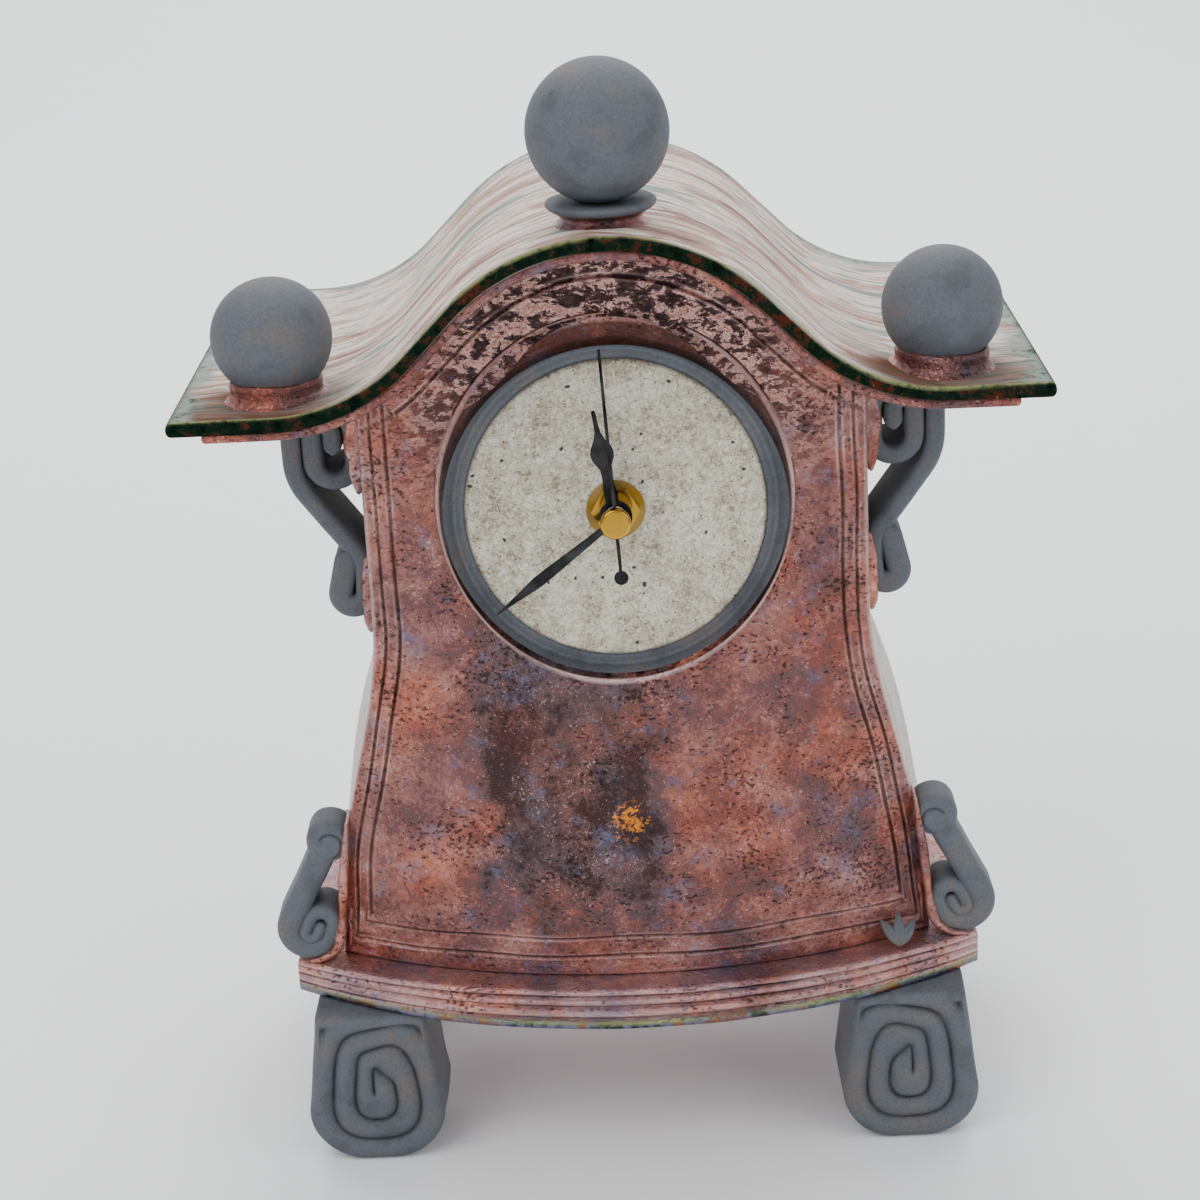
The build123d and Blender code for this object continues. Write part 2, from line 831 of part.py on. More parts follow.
def make_step_wheel():
    phase = step_bearing + 180
    wheel = gear(step_teeth, step_module, layer(5), rotor_bearing)
    pinion = gear(step_pinion_teeth, second_module, layer(4), facing(phase, step_pinion_teeth))
    hub = rod(2 * pin_hole, layer(5), layer(4) - wheel_width)
    return dial_plane * Pos(*step_axis) * (wheel + pinion + hub - rod(pin_hole, case_back, 0))


def make_rotor():
    """A round magnet in the stator, with the pinion that starts the train."""
    phase = rotor_bearing + 180
    pinion = gear(rotor_pinion_teeth, step_module, layer(5), facing(phase, rotor_pinion_teeth))
    magnet = rod(magnet_radius, stator_z - magnet_length / 2, stator_z + magnet_length / 2)
    neck = rod(2 * pin_hole, layer(5), stator_z)
    return dial_plane * Pos(*rotor_axis) * (pinion + magnet + neck - rod(pin_hole, case_back, 0))


def make_reverser_wheel():
    """The wheel between cannon and hour wheel, on the arbor that the setting knob turns."""
    phase = reverser_bearing + 180
    wheel = gear(reverser_teeth, cannon_module, layer(1), facing(phase, reverser_teeth))
    pinion = gear(reverser_pinion_teeth, hour_module, layer(0), facing(phase, reverser_pinion_teeth))
    hub = rod(reverser_arbor_radius, layer(1), layer(0) - wheel_width)
    arbor = rod(reverser_arbor_radius, case_back - knob_gap - knob_disc_thickness / 2, layer(1))
    pivot = rod(post_radius, layer(0), case_inner + case_wall / 2)
    return dial_plane * Pos(*reverser_axis) * (wheel + pinion + hub + arbor + pivot)


def make_set_knob():
    """A milled knob behind the cover."""
    front = case_back - knob_gap
    module = 2 * knob_disc_radius / (knob_teeth + 2 * addendum)
    disc = gear(knob_teeth, module, front, 0, knob_disc_thickness) & rod(knob_disc_radius, 2 * case_back, 0)
    socket = rod(reverser_arbor_radius, front - knob_disc_thickness / 2, front)
    return dial_plane * Pos(*reverser_axis) * (disc - socket)


# Movement case and motor


def stator_posts():
    """Two posts that carry the stator: one at its left end, one beside the rotor ring."""
    left = (stator_left_x + stator_bar / 2, stator_low_y + stator_bar / 2)
    return [left, (rotor_axis[0], core_y)]


def make_movement_case():
    """A tray open at the back: the wheels above, the battery bay below."""
    low, high = (-case_half_width, case_bottom), (case_half_width, case_top)
    tray = solid_between(low, high, case_back, case_front)
    wheels_low = (-inner_half_width, bay_roof + bay_wall)
    wheels_high = (inner_half_width, case_top - case_wall)
    tray -= solid_between(wheels_low, wheels_high, case_back - wall, case_inner)
    bay_low, bay_high = (-inner_half_width, bay_floor), (inner_half_width, bay_roof)
    tray -= solid_between(bay_low, bay_high, case_back - wall, case_inner)
    cover_low = (-case_half_width - wall, bay_roof)
    tray -= solid_between(cover_low, (case_half_width + wall, case_top + wall), case_back - wall, cover_inner)
    for post in stator_posts():
        tray += rod(stator_bar / 2, stator_z + stator_thickness / 2, case_inner, post)
    tray -= rod(bush_radius, case_inner - wall, case_front + wall)
    pivot_end = case_inner + case_wall / 2 + pin_clearance
    tray -= rod(post_radius + pin_clearance, case_inner - wall, pivot_end, reverser_axis)
    return dial_plane * tray


def make_movement_cover():
    """The back plate, with a pin for each free wheel and holes for the two arbors."""
    plate = solid_between((-case_half_width, bay_roof), (case_half_width, case_top), case_back, cover_inner)
    seats = [
        (third_axis, layer(3) - wheel_width, layer(2)),
        (step_axis, layer(5) - wheel_width, layer(4)),
        (rotor_axis, layer(5) - wheel_width, stator_z),
    ]
    for axis, shoulder, tip in seats:
        plate += rod(post_radius, cover_inner, shoulder - pin_clearance, axis)
        plate += rod(pin_radius, cover_inner, tip, axis)
    plate += rod(2 * post_radius, cover_inner, layer(5) - wheel_width)
    plate -= rod(second_arbor_radius + shaft_clearance, cover_inner - case_wall / 2 - pin_clearance, 0)
    plate -= rod(reverser_arbor_radius + shaft_clearance, case_back - wall, 0, reverser_axis)
    return dial_plane * plate


def make_stator():
    """A soft iron loop: a ring round the rotor, a return bar and the core of the coil."""
    back, front = stator_z - stator_thickness / 2, stator_z + stator_thickness / 2
    x, y = rotor_axis
    half = stator_bar / 2
    loop = rod(stator_ring_radius, back, front, rotor_axis)
    loop += solid_between((stator_left_x, stator_low_y), (x, stator_low_y + stator_bar), back, front)
    left_end = (stator_left_x + stator_bar, core_y + half)
    loop += solid_between((stator_left_x, stator_low_y), left_end, back, front)
    loop += solid_between((stator_left_x, core_y - half), (x + half, core_y + half), back, front)
    loop += solid_between((x - half, y), (x + half, core_y + half), back, front)
    return dial_plane * (loop - rod(magnet_radius + stator_air_gap, back - wall, front + wall, rotor_axis))


def make_coil():
    """The winding on its bobbin, round the stator's core."""
    turn = Plane(origin=(0, core_y, stator_z), x_dir=(0, 1, 0), z_dir=(1, 0, 0))
    winding = rod(coil_winding_radius, coil_start_x, coil_end_x)
    winding += rod(coil_flange_radius, coil_start_x, coil_start_x + coil_flange_width)
    winding += rod(coil_flange_radius, coil_end_x - coil_flange_width, coil_end_x)
    slot = Box(stator_bar + 2 * core_clearance, stator_thickness + 2 * core_clearance, far)
    return dial_plane * turn * (winding - slot)


def make_circuit_board():
    low = (inner_half_width - board_width, board_low_y)
    high = (inner_half_width, board_low_y + board_length)
    return dial_plane * solid_between(low, high, stator_z - board_thickness, stator_z)


battery_y = (bay_floor + bay_roof) / 2
battery_z = case_inner - battery_clearance - battery_radius
battery_end = inner_half_width - contact_thickness - battery_clearance
along_bay = Plane(origin=(0, battery_y, battery_z), x_dir=(0, 1, 0), z_dir=(1, 0, 0))


def make_battery():
    """A round cell lying in the bay, its raised end to the right."""
    shoulder = battery_end - battery_nub_length
    cell = rod(battery_radius, shoulder - battery_body_length, shoulder)
    return dial_plane * along_bay * (cell + rod(battery_nub_radius, shoulder, battery_end))


def make_contact(start, end):
    """A leaf of spring metal across one end of the bay."""
    low = (start, battery_y - contact_half_width)
    high = (end, battery_y + contact_half_width)
    return dial_plane * solid_between(low, high, battery_z - contact_half_width, case_inner)


negative_gap = battery_end - battery_nub_length - battery_body_length + inner_half_width


def make_negative_contact():
    """A leaf bent double, so that it presses on the flat end of the cell."""
    start = -inner_half_width
    tip = start + negative_gap - battery_clearance
    foot = make_contact(start, start + contact_thickness)
    spring = make_contact(tip - contact_thickness, tip)
    low = (start, battery_y - contact_half_width)
    high = (tip, battery_y + contact_half_width)
    bend = dial_plane * solid_between(low, high, case_inner - contact_thickness, case_inner)
    return foot + spring + bend


front_panel = make_front_panel()
base_slab = make_base_slab()
side_panel = make_side_panel()
upper_bracket = make_upper_bracket()
lower_bracket = make_lower_bracket()
collar = make_collar()
feet = {"front": make_foot(front_foot_y), "rear": make_foot(rear_foot_y)}

nodes = {
    "front_panel": front_panel,
    "back_panel": make_back_panel(),
    "base_slab": base_slab,
    "roof_slab": roof_slab,
    "roof_lining": make_roof_lining(),
    "apex_ball": apex_ball,
    "apex_pedestal": make_pedestal(),
    "leaf_sprig": make_sprig(front_panel, base_slab),
    "dial_plate": make_dial_plate(),
    "dial_face": make_dial_face(),
    "movement_case": make_movement_case(),
    "movement_cover": make_movement_cover(),
    "threaded_bush": make_bush(),
    "rubber_washer": dial_plane * ring(rubber_radius, hub_hole_radius, case_front, plate_back),
    "brass_washer": dial_plane * ring(washer_radius, hub_hole_radius, 0, washer_thickness),
    "hex_nut": make_nut(),
    "stator": make_stator(),
    "motor_coil": make_coil(),
    "circuit_board": make_circuit_board(),
    "positive_contact": make_contact(inner_half_width - contact_thickness, inner_half_width),
    "negative_contact": make_negative_contact(),
    "battery": make_battery(),
    "hour_wheel": make_hour_wheel(),
    "hour_hand": make_hour_hand(),
    "minute_arbor": make_minute_arbor(),
    "minute_hand": make_minute_hand(),
    "second_arbor": make_second_arbor(),
    "second_hand": make_second_hand(),
    "hand_cap": make_hand_cap(),
    "centre_wheel": make_centre_wheel(),
    "third_wheel": make_third_wheel(),
    "step_wheel": make_step_wheel(),
    "rotor": make_rotor(),
    "reverser_wheel": make_reverser_wheel(),
    "set_knob": make_set_knob(),
}
pairs = {
    "side_panel": side_panel,
    "ball": right_ball,
    "ball_collar": collar,
    "upper_bracket": upper_bracket,
    "lower_bracket": lower_bracket,
    "front_foot": feet["front"],
    "rear_foot": feet["rear"],
}
for name, right in pairs.items():
    nodes["right_" + name] = right
    nodes["left_" + name] = mirror(right, about=Plane.YZ)

os.makedirs("parts", exist_ok=True)
for name, shape in nodes.items():
    export_step(shape, f"parts/{name}.step")
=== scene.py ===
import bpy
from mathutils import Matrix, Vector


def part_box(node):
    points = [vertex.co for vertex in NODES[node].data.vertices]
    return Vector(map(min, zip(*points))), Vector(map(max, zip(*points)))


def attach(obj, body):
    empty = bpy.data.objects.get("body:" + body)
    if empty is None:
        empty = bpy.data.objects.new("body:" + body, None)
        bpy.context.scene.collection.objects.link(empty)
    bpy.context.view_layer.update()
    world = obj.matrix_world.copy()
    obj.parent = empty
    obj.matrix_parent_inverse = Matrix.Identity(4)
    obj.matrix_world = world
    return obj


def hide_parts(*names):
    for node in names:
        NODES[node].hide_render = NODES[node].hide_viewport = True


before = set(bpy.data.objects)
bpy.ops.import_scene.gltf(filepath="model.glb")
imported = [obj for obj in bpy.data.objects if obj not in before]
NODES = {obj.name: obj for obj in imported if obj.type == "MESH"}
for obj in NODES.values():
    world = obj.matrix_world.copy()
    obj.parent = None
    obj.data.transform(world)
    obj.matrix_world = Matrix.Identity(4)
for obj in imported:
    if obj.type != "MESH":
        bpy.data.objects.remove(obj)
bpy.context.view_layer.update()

from functools import partial
from math import cos, pi, radians, sin, sqrt, tan
from types import SimpleNamespace

import bmesh
import bpy
import numpy as np
from bpy.props import FloatProperty, FloatVectorProperty, PointerProperty
from bpy.types import Operator, Panel, PropertyGroup
from mathutils import Matrix, Vector

bl_info = {
    "name": "Raku mantel clock",
    "version": (1, 0, 0),
    "blender": (4, 5, 0),
    "location": "3D View > Sidebar > Clock",
    "description": "Dresses a slab-built ceramic mantel clock: glazes, coiled clay, dial, hands and studio",
    "category": "Object",
}

MM = 0.001

# Points nearer than the weld gap become one and edges shorter than a sliver go, both in metres
WELD_GAP, SLIVER = 2e-6, 1e-6

# Plain colours, and a colour mix node's settings and its inputs for the share and the colours under and over
BLACK, WHITE = (0, 0, 0, 1), (1, 1, 1, 1)
COLOUR_MIX = {"out": 2, "data_type": "RGBA"}
SHARE, UNDER, OVER = 0, 6, 7


def linear(code):
    """An sRGB hex colour as linear red, green, blue and full alpha."""
    channels = np.array([int(code[i:i + 2], 16) for i in (1, 3, 5)]) / 255
    low, high = channels / 12.92, ((channels + 0.055) / 1.055) ** 2.4
    return (*np.where(channels <= 0.04045, low, high).tolist(), 1.0)


def length(name, description, millimetres):
    """A length property, kept in metres."""
    default = millimetres * MM
    return FloatProperty(name=name, description=description, default=default, unit="LENGTH", precision=4)


def tint(name, description, code):
    """A colour property from an sRGB hex value."""
    default = linear(code)
    return FloatVectorProperty(name=name, description=description, default=default, size=4, subtype="COLOR")


def power(name, description, watts):
    """A light's power property."""
    return FloatProperty(name=name, description=description, default=watts, unit="POWER")


class ClockSizes(PropertyGroup):
    """Sizes of the ceramic case, the coiled clay and the dial."""

    panel_edge_y: length("Panel edge", "Depth of the front panel's two upright edges", -36.0)
    body_depth: length("Body depth", "From the panel's edges to the back", 85.0)
    wall: length("Wall", "Thickness of the clay slabs", 6.0)
    foot_height: length("Foot height", "Height of the rolled feet", 44.0)
    base_thickness: length("Base thickness", "Thickness of the moulded base slab", 9.4)
    wall_height: length("Wall height", "From the base slab to the eave", 153.2)
    waist_half_width: length("Waist", "Half width of the upright part of the body", 64.0)
    waist_rise: length("Waist rise", "Height above the base slab where the flare starts", 96.6)
    flare_half_width: length("Flare", "Half width at the middle of the flare", 74.0)
    flare_rise: length("Flare rise", "Height above the base slab of the flare's middle", 43.6)
    bottom_half_width: length("Bottom", "Half width where the body meets the base slab", 79.4)
    back_spread: length("Back spread", "Extra half width at the bottom of the back", 7.0)
    panel_bow: length("Panel bow", "How far the front panel bows out at its foot", 19.5)
    roof_half_width: length("Roof half width", "From the middle to the end of a wing", 106.8)
    roof_front_y: length("Roof front", "Depth of the roof's front edge", -64.0)
    roof_back_y: length("Roof back", "Depth of the roof's back edge", 68.0)
    roof_thickness: length("Roof thickness", "Thickness of the roof slab", 3.8)
    lining_thickness: length("Lining thickness", "Thickness of the copper slab under the roof", 2.6)
    lining_inset: length("Lining inset", "How far the lining stops short of the roof's ends", 8.0)
    roof_rise: length("Roof rise", "From the wings' top to the crown's top", 40.4)
    crown_radius: length("Crown radius", "Radius of the ogee's crown", 55.0)
    valley_radius: length("Valley radius", "Radius of the ogee's valleys", 45.0)
    base_half_width: length("Base half width", "From the middle to the end of the base slab", 92.0)
    base_back_y: length("Base back", "Depth of the base slab's back edge", 56.0)
    base_end_y: length("Base front ends", "Depth of the base slab's two front corners", -39.0)
    base_front_y: length("Base front", "Depth of the base slab's bowed front", -68.0)
    apex_ball_radius: length("Apex ball", "Radius of the ball on the crown", 17.3)
    apex_ball_rise: length("Apex ball rise", "Height of its middle above the crown", 21.6)
    side_ball_radius: length("Side balls", "Radius of the balls on the wings", 14.8)
    side_ball_rise: length("Side ball rise", "Height of their middles above the wings", 15.3)
    ball_y: length("Ball depth", "Depth of the balls' middles", -45.0)
    pedestal_foot_radius: length("Pedestal foot", "Radius of the apex pedestal at the roof", 10.0)
    pedestal_rim_radius: length("Pedestal rim", "Radius of the apex pedestal under the ball", 13.0)
    collar_radius: length("Collar", "Radius of the clay rings under the side balls", 12.0)
    collar_rise: length("Collar rise", "Height of these rings", 5.5)
    scroll_width: length("Scroll strip", "Width of the strip of an upper bracket", 4.9)
    scroll_pitch: length("Scroll pitch", "From one turn of the strip to the next", 5.35)
    scroll_front_y: length("Scroll front", "Depth of the upper brackets' front", -29.0)
    scroll_depth: length("Scroll depth", "Depth of the upper brackets", 22.0)
    hook_width: length("Hook strip", "Width of the strip of a lower bracket", 7.0)
    hook_front_y: length("Hook front", "Depth of the lower brackets' front", -41.0)
    hook_depth: length("Hook depth", "Depth of the lower brackets", 14.0)
    coil_radius: length("Hook coil", "Outer radius of a lower bracket's coil", 9.2)
    knob_radius: length("Hook knob", "Outer radius of the roll at a lower bracket's top", 5.4)
    knob_rise: length("Hook knob rise", "Height of that roll above the base slab", 35.1)
    foot_x: length("Foot place", "Distance of the feet from the middle", 72.0)
    foot_top_half_width: length("Foot top", "Half width of a foot under the slab", 14.75)
    foot_wide_half_width: length("Foot belly", "Half width of a foot at its widest", 18.25)
    foot_wide_height: length("Foot belly height", "Height of the widest part", 16.0)
    foot_depth: length("Foot depth", "Length of a foot from front to back", 28.0)
    front_foot_y: length("Front feet", "Depth of the front feet's middle", -42.0)
    rear_foot_y: length("Rear feet", "Depth of the rear feet's middle", 38.0)
    coil_band: length("Foot strip", "Thickness of the rolled strip in a foot", 6.1)
    dial_rise: length("Dial rise", "Height of the hub above the base slab", 123.6)
    dial_recess: length("Dial recess", "From the panel's front to the dial face", 6.9)
    porthole_width: length("Porthole width", "Width of the opening", 88.5)
    porthole_height: length("Porthole height", "Height of the opening", 92.9)
    porthole_offset: length("Porthole offset", "How far the opening lies above the hub", 3.95)
    porthole_slant: length("Porthole slant", "How far its rear edge drops", 6.0)
    porthole_taper: length("Porthole taper", "How much lower its rear edge is than its front edge", 4.2)
    face_radius: length("Face radius", "Radius of the white dial face", 38.5)
    face_thickness: length("Face thickness", "Thickness of the dial face", 1.5)
    hub_hole_radius: length("Hub hole", "Radius of the hole for the hub", 4.3)


class ClockColours(PropertyGroup):
    """Colours of the clay, the glazes and the metal."""

    clay: tint("Smoked clay", "Bare clay blackened by smoke", "#555a61")
    # Darkest smoke on the clay; darkened further it is also the painted shade in creases
    clay_dark: tint("Clay in creases", "Where the smoke lay thickest", "#34373d")
    clay_warm: tint("Clay, thin smoke", "Brownish grey where the smoke thinned", "#69605a")
    maroon: tint("Copper, oxidised", "Darkest glaze on the panel", "#3f2a2a")
    umber: tint("Copper, smoked", "Brown where smoke lay on the metal", "#634b4a")
    brick: tint("Copper, red", "Main red of the lustre", "#784a46")
    ember: tint("Copper, ember", "Orange-red drifts", "#9e675a")
    salmon: tint("Copper, pink", "Bright pink copper where the glaze is thick", "#d2a49e")
    lilac: tint("Copper, blue", "Blue-violet veils", "#6d7390")
    # Also the colour of the painted shade in grooves
    pit: tint("Pits", "Burst bubbles in the glaze", "#160b0a")
    # Also the colour of a painted highlight on the panel's lower middle
    flash: tint("Flash", "Golden orange flash on the panel", "#e58a2a")
    pale: tint("Pale glaze", "Main colour of the roof and the sides", "#e0d8d0")
    pale_pink: tint("Pale glaze, pink", "Pinkish streaks", "#b99589")
    pale_green: tint("Pale glaze, green", "Greenish grey streaks", "#84978f")
    pale_tan: tint("Pale glaze, tan", "Tan-brown streaks", "#6e4f40")
    verdigris: tint("Edge green", "Green oxide on the roof's edges", "#13251a")
    # As a ridge colour it is a painted highlight along arrises
    sage: tint("Edge highlight", "Yellow-green where the edge oxide is thin", "#8e9663")
    rust: tint("Edge rust", "Rusty patches among the green", "#51241b")
    face: tint("Dial face", "Off-white glaze", "#ccc9b3")
    face_stain: tint("Dial stain", "Tan stain in the crackle", "#a8977c")
    brass: tint("Brass", "Polished brass", "#c4972f")
    hand: tint("Hands", "Satin black paint", "#07090c")
    floor: tint("Floor", "Studio paper", "#f7f8f9")


class StudioSettings(PropertyGroup):
    """The pale studio."""

    lens: FloatProperty(
        name="Lens", description="Focal length on a 36 mm sensor", default=76.45, unit="CAMERA",
    )
    key_power: power("Key light", "Power of the large soft key light", 17.0)
    fill_power: power("Fill light", "Power of the soft fill light", 7.0)
    top_power: power("Top light", "Power of the overhead light", 8.0)
    paper_power: power("Paper light", "Power of the light on the paper behind", 48.0)
    room: FloatProperty(
        name="Room light", description="Strength of the even light all round", default=0.72, subtype="FACTOR",
    )


def sizes_of(context):
    """The sizes in millimetres, with the levels and planes that follow from them."""
    group = context.scene.clock_sizes
    s = SimpleNamespace(**{key: getattr(group, key) / MM for key in ClockSizes.__annotations__})
    s.body_bottom = s.foot_height + s.base_thickness
    s.eave = s.body_bottom + s.wall_height
    s.wing_top = s.eave + s.lining_thickness + s.roof_thickness
    s.roof_top = s.wing_top + s.roof_rise
    s.back_y = s.panel_edge_y + s.body_depth
    s.slope = pi / 4
    arcs = s.crown_radius + s.valley_radius
    flank_rise = s.roof_rise - arcs * (1 - cos(s.slope))
    s.valley_x = arcs * sin(s.slope) + flank_rise / tan(s.slope)
    s.panel_radius = (s.bottom_half_width**2 + s.panel_bow**2) / (2 * s.panel_bow)
    s.lean = np.arctan2(s.panel_bow, s.roof_top - s.body_bottom)
    s.hub_z = s.body_bottom + s.dial_rise
    s.hub_y = panel_depth(0.0, s.hub_z + s.dial_recess * sin(s.lean), s) + s.dial_recess * cos(s.lean)
    return s


# Shapes: the formulas that the pieces share


def as_points(*parts):
    """Points from their coordinates: grids, rows, columns and single numbers that fit together."""
    return np.stack(np.broadcast_arrays(*parts), axis=-1)


def panel_depth(x, z, s):
    """Depth of the front panel: an arc in plan at its foot that runs out flat at the roof's top."""
    arc = s.panel_radius - np.sqrt(np.maximum(s.panel_radius**2 - np.square(x), 0)) - s.panel_bow
    return s.panel_edge_y + arc * (s.roof_top - z) / (s.roof_top - s.body_bottom)


def side_half_width(z, s, spread=0.0):
    """Half width of the body: upright above the waist, below it a smooth cubic through flare and foot.

    The spread is how much wider the foot is than at the front panel.
    """
    flare = s.flare_half_width + spread * (1 - s.flare_rise / s.waist_rise)
    foot = s.bottom_half_width + spread
    heights = s.body_bottom + np.array([s.waist_rise, s.flare_rise, 0.0])
    points = as_points([s.waist_half_width, flare, foot], heights)
    first = np.linalg.norm(points[1] - points[0])
    second = np.linalg.norm(points[2] - points[1])
    start = np.array([0.0, -1.0])
    end = np.array([(foot - flare) / s.flare_rise * 0.8, -1.0])
    end /= np.linalg.norm(end)
    rises = 3 * ((points[1] - points[0]) * second / first + (points[2] - points[1]) * first / second)
    middle = (rises - second * start - first * end) / (2 * (first + second))
    t = np.linspace(0, 1, 200)[:, None]
    basis = (2 * t**3 - 3 * t**2 + 1, t**3 - 2 * t**2 + t, 3 * t**2 - 2 * t**3, t**3 - t**2)

    def span(a, b, from_slope, to_slope, size):
        return basis[0] * a + basis[1] * size * from_slope + basis[2] * b + basis[3] * size * to_slope

    upper = span(points[0], points[1], start, middle, first)
    lower = span(points[1], points[2], middle, end, second)
    curve = np.vstack([upper, lower[1:]])[::-1]
    return np.interp(z, curve[:, 1], curve[:, 0])


def ogee_height(x, drop, s):
    """Height of the ogee: crown arc, straight flank, valley arc and level wing, all moved in by a drop."""
    across = np.abs(x)
    crown, valley = s.crown_radius - drop, s.valley_radius + drop
    crown_z, valley_z = s.roof_top - s.crown_radius, s.wing_top + s.valley_radius
    crown_end, valley_start = crown * sin(s.slope), s.valley_x - valley * sin(s.slope)
    on_crown = crown_z + np.sqrt(np.maximum(crown**2 - across**2, 0))
    on_flank = crown_z + crown * cos(s.slope) - (across - crown_end) * tan(s.slope)
    on_valley = valley_z - np.sqrt(np.maximum(valley**2 - (s.valley_x - across) ** 2, 0))
    zones = [across < crown_end, across < valley_start, across < s.valley_x]
    return np.select(zones, [on_crown, on_flank, on_valley], s.wing_top - drop)


def even_steps(points, count):
    """A line of points taken again at even steps along its length."""
    runs = np.linalg.norm(np.diff(points, axis=0), axis=1)
    along = np.concatenate([[0], np.cumsum(runs)])
    places = np.linspace(0, along[-1], count)
    return as_points(*(np.interp(places, along, column) for column in points.T))


def ripple(points, size, seed):
    """Slow random waves of about -1 to 1: sines in fixed random directions, their size in millimetres."""
    rng = np.random.default_rng(seed)
    count = 9
    directions = rng.normal(size=(count, 3))
    directions /= np.linalg.norm(directions, axis=1)[:, None]
    pitches = size * rng.uniform(0.7, 1.6, count)
    waves = np.sin(points @ (2 * pi * directions / pitches[:, None]).T + rng.uniform(0, 2 * pi, count))
    return waves.mean(axis=-1) * 1.8


def soft_step(value):
    """A smooth rise from 0 to 1."""
    t = np.clip(value, 0, 1)
    return t * t * (3 - 2 * t)


def ray_reach(inside, middle, angles, far):
    """Distance from a middle point to the edge of a flat shape along each angle, by halving the ray."""
    low, high = np.zeros_like(angles), np.full_like(angles, far)
    for _ in range(40):
        reach = (low + high) / 2
        within = inside(middle[0] + reach * np.cos(angles), middle[1] + reach * np.sin(angles))
        low, high = np.where(within, reach, low), np.where(within, high, reach)
    return low


def quads(rows, columns, close_rows=False, close_columns=False):
    """Faces between neighbours of a grid of points; a closed way joins its last line to its first."""
    index = np.arange(rows * columns).reshape(rows, columns)
    if close_rows:
        index = np.vstack([index, index[:1]])
    if close_columns:
        index = np.hstack([index, index[:, :1]])
    corners = [index[:-1, :-1], index[:-1, 1:], index[1:, 1:], index[1:, :-1]]
    return np.stack(corners, axis=-1).reshape(-1, 4)


def shell(grid, close_rows=False, caps=()):
    """A closed skin from a grid whose columns close on themselves, with flat faces over the named rows."""
    rows, columns = grid.shape[:2]
    faces = quads(rows, columns, close_rows, True).tolist()
    faces += [(np.arange(columns) + (row % rows) * columns).tolist() for row in caps]
    return grid.reshape(-1, 3), faces


def turn_path(start, heading, moves, step=0.35):
    """A flat path of straight runs (length, 0) and tangent arcs (radius, turn in degrees), sampled finely."""
    place, angle = np.array(start, float), radians(heading)
    points = [place]
    for size, turn in moves:
        if turn == 0:
            t = np.linspace(0, size, max(2, int(size / step)))[1:, None]
            run = place + t * np.array([cos(angle), sin(angle)])
        else:
            side = 1 if turn > 0 else -1
            swing = np.linspace(0, radians(turn), max(4, int(abs(radians(turn)) * size / step)))[1:]
            middle = place + size * side * np.array([-sin(angle), cos(angle)])
            spoke = angle - side * pi / 2 + swing
            run = middle + size * as_points(np.cos(spoke), np.sin(spoke))
            angle += radians(turn)
        points.append(run)
        place = run[-1]
    return np.vstack(points)


def upright(path):
    """A flat path of (across, height) points, stood up in the clock's frame."""
    return as_points(path[:, 0], 0, path[:, 1])


def quarter_arcs(steps):
    """The angles of a circle's four quarters, each with both its ends."""
    return [np.linspace(i * pi / 2, (i + 1) * pi / 2, steps + 1) for i in range(4)]


def carried_bar(path, half_width, front, back, radius, square=False, steps=5, rows=()):
    """A bar carried along a flat path of (across, height) points.

    At each point stands a rectangle, half_width to each side of the path and from front to back in depth,
    with its corners rounded and its two long sides divided at the depths in rows. Half circles close the two
    ends, or flat ends with rounded edges if square.
    """
    half_width = np.broadcast_to(np.asarray(half_width, float), len(path))
    along = np.gradient(path, axis=0)
    along /= np.linalg.norm(along, axis=1)[:, None]
    swing = np.linspace(0, pi / 2, 7)[1:]

    def ending(index, sign):
        width = half_width[index]
        reach = min(radius, width) if square else width
        places = path[index] + sign * reach * np.sin(swing)[:, None] * along[index]
        widths = width - reach * (1 - np.cos(swing))
        return places, widths, np.repeat(along[index][None], len(swing), axis=0)

    start, finish = ending(0, -1), ending(-1, 1)
    places = np.vstack([start[0][::-1], path, finish[0]])
    widths = np.concatenate([start[1][::-1], half_width, finish[1]])
    along = np.vstack([start[2], along, finish[2]])
    arcs = quarter_arcs(steps)
    rows = np.asarray(rows, float)
    ahead, behind = front + radius, back - radius
    depth = np.concatenate([
        behind + radius * np.sin(arcs[0]), behind + radius * np.sin(arcs[1]), rows[::-1],
        ahead + radius * np.sin(arcs[2]), ahead + radius * np.sin(arcs[3]), rows,
    ])
    straight = np.ones(len(rows))
    bends = [np.cos(arc) for arc in arcs]
    rounding = np.concatenate([bends[0], bends[1], -straight, bends[2], bends[3], straight])
    side = np.repeat([1, -1, -1, -1, 1, 1], [steps + 1, steps + 1, len(rows)] * 2)
    bend = np.minimum(radius, widths)[:, None]
    across = side * (widths[:, None] - bend) + bend * rounding
    x = places[:, :1] - along[:, 1:] * across
    z = places[:, 1:] + along[:, :1] * across
    return shell(as_points(x, depth, z), caps=(0, -1) if square else ())


def turned_ring(profile, count):
    """A grid of points turned round the local Z axis from a profile of (radius, height) points."""
    angles = np.linspace(0, 2 * pi, count, endpoint=False)
    radius, height = np.array(profile, float).T[..., None]
    return as_points(radius * np.cos(angles), radius * np.sin(angles), height)


def on_dial(points, s):
    """Points given right, up and out of the dial, set into the clock's frame."""
    right, up, out = points[..., 0], points[..., 1], points[..., 2]
    depth = s.hub_y + up * sin(s.lean) - out * cos(s.lean)
    return as_points(right, depth, s.hub_z + up * cos(s.lean) + out * sin(s.lean))


def mirrored(skin):
    """A skin reflected to the other side of the clock."""
    points, faces = skin
    return points * np.array([-1, 1, 1]), faces


def facing_out(points, faces):
    """The faces, all turned round if the volume that they enclose comes out negative."""
    loops = [np.array(face) for face in faces]
    volume = 0.0
    for size in {len(loop) for loop in loops}:
        corners = points[np.array([loop for loop in loops if len(loop) == size])]
        for i in range(1, size - 1):
            volume += np.einsum("ij,ij->", corners[:, 0], np.cross(corners[:, i], corners[:, i + 1]))
    return [face[::-1] for face in faces] if volume < 0 else faces


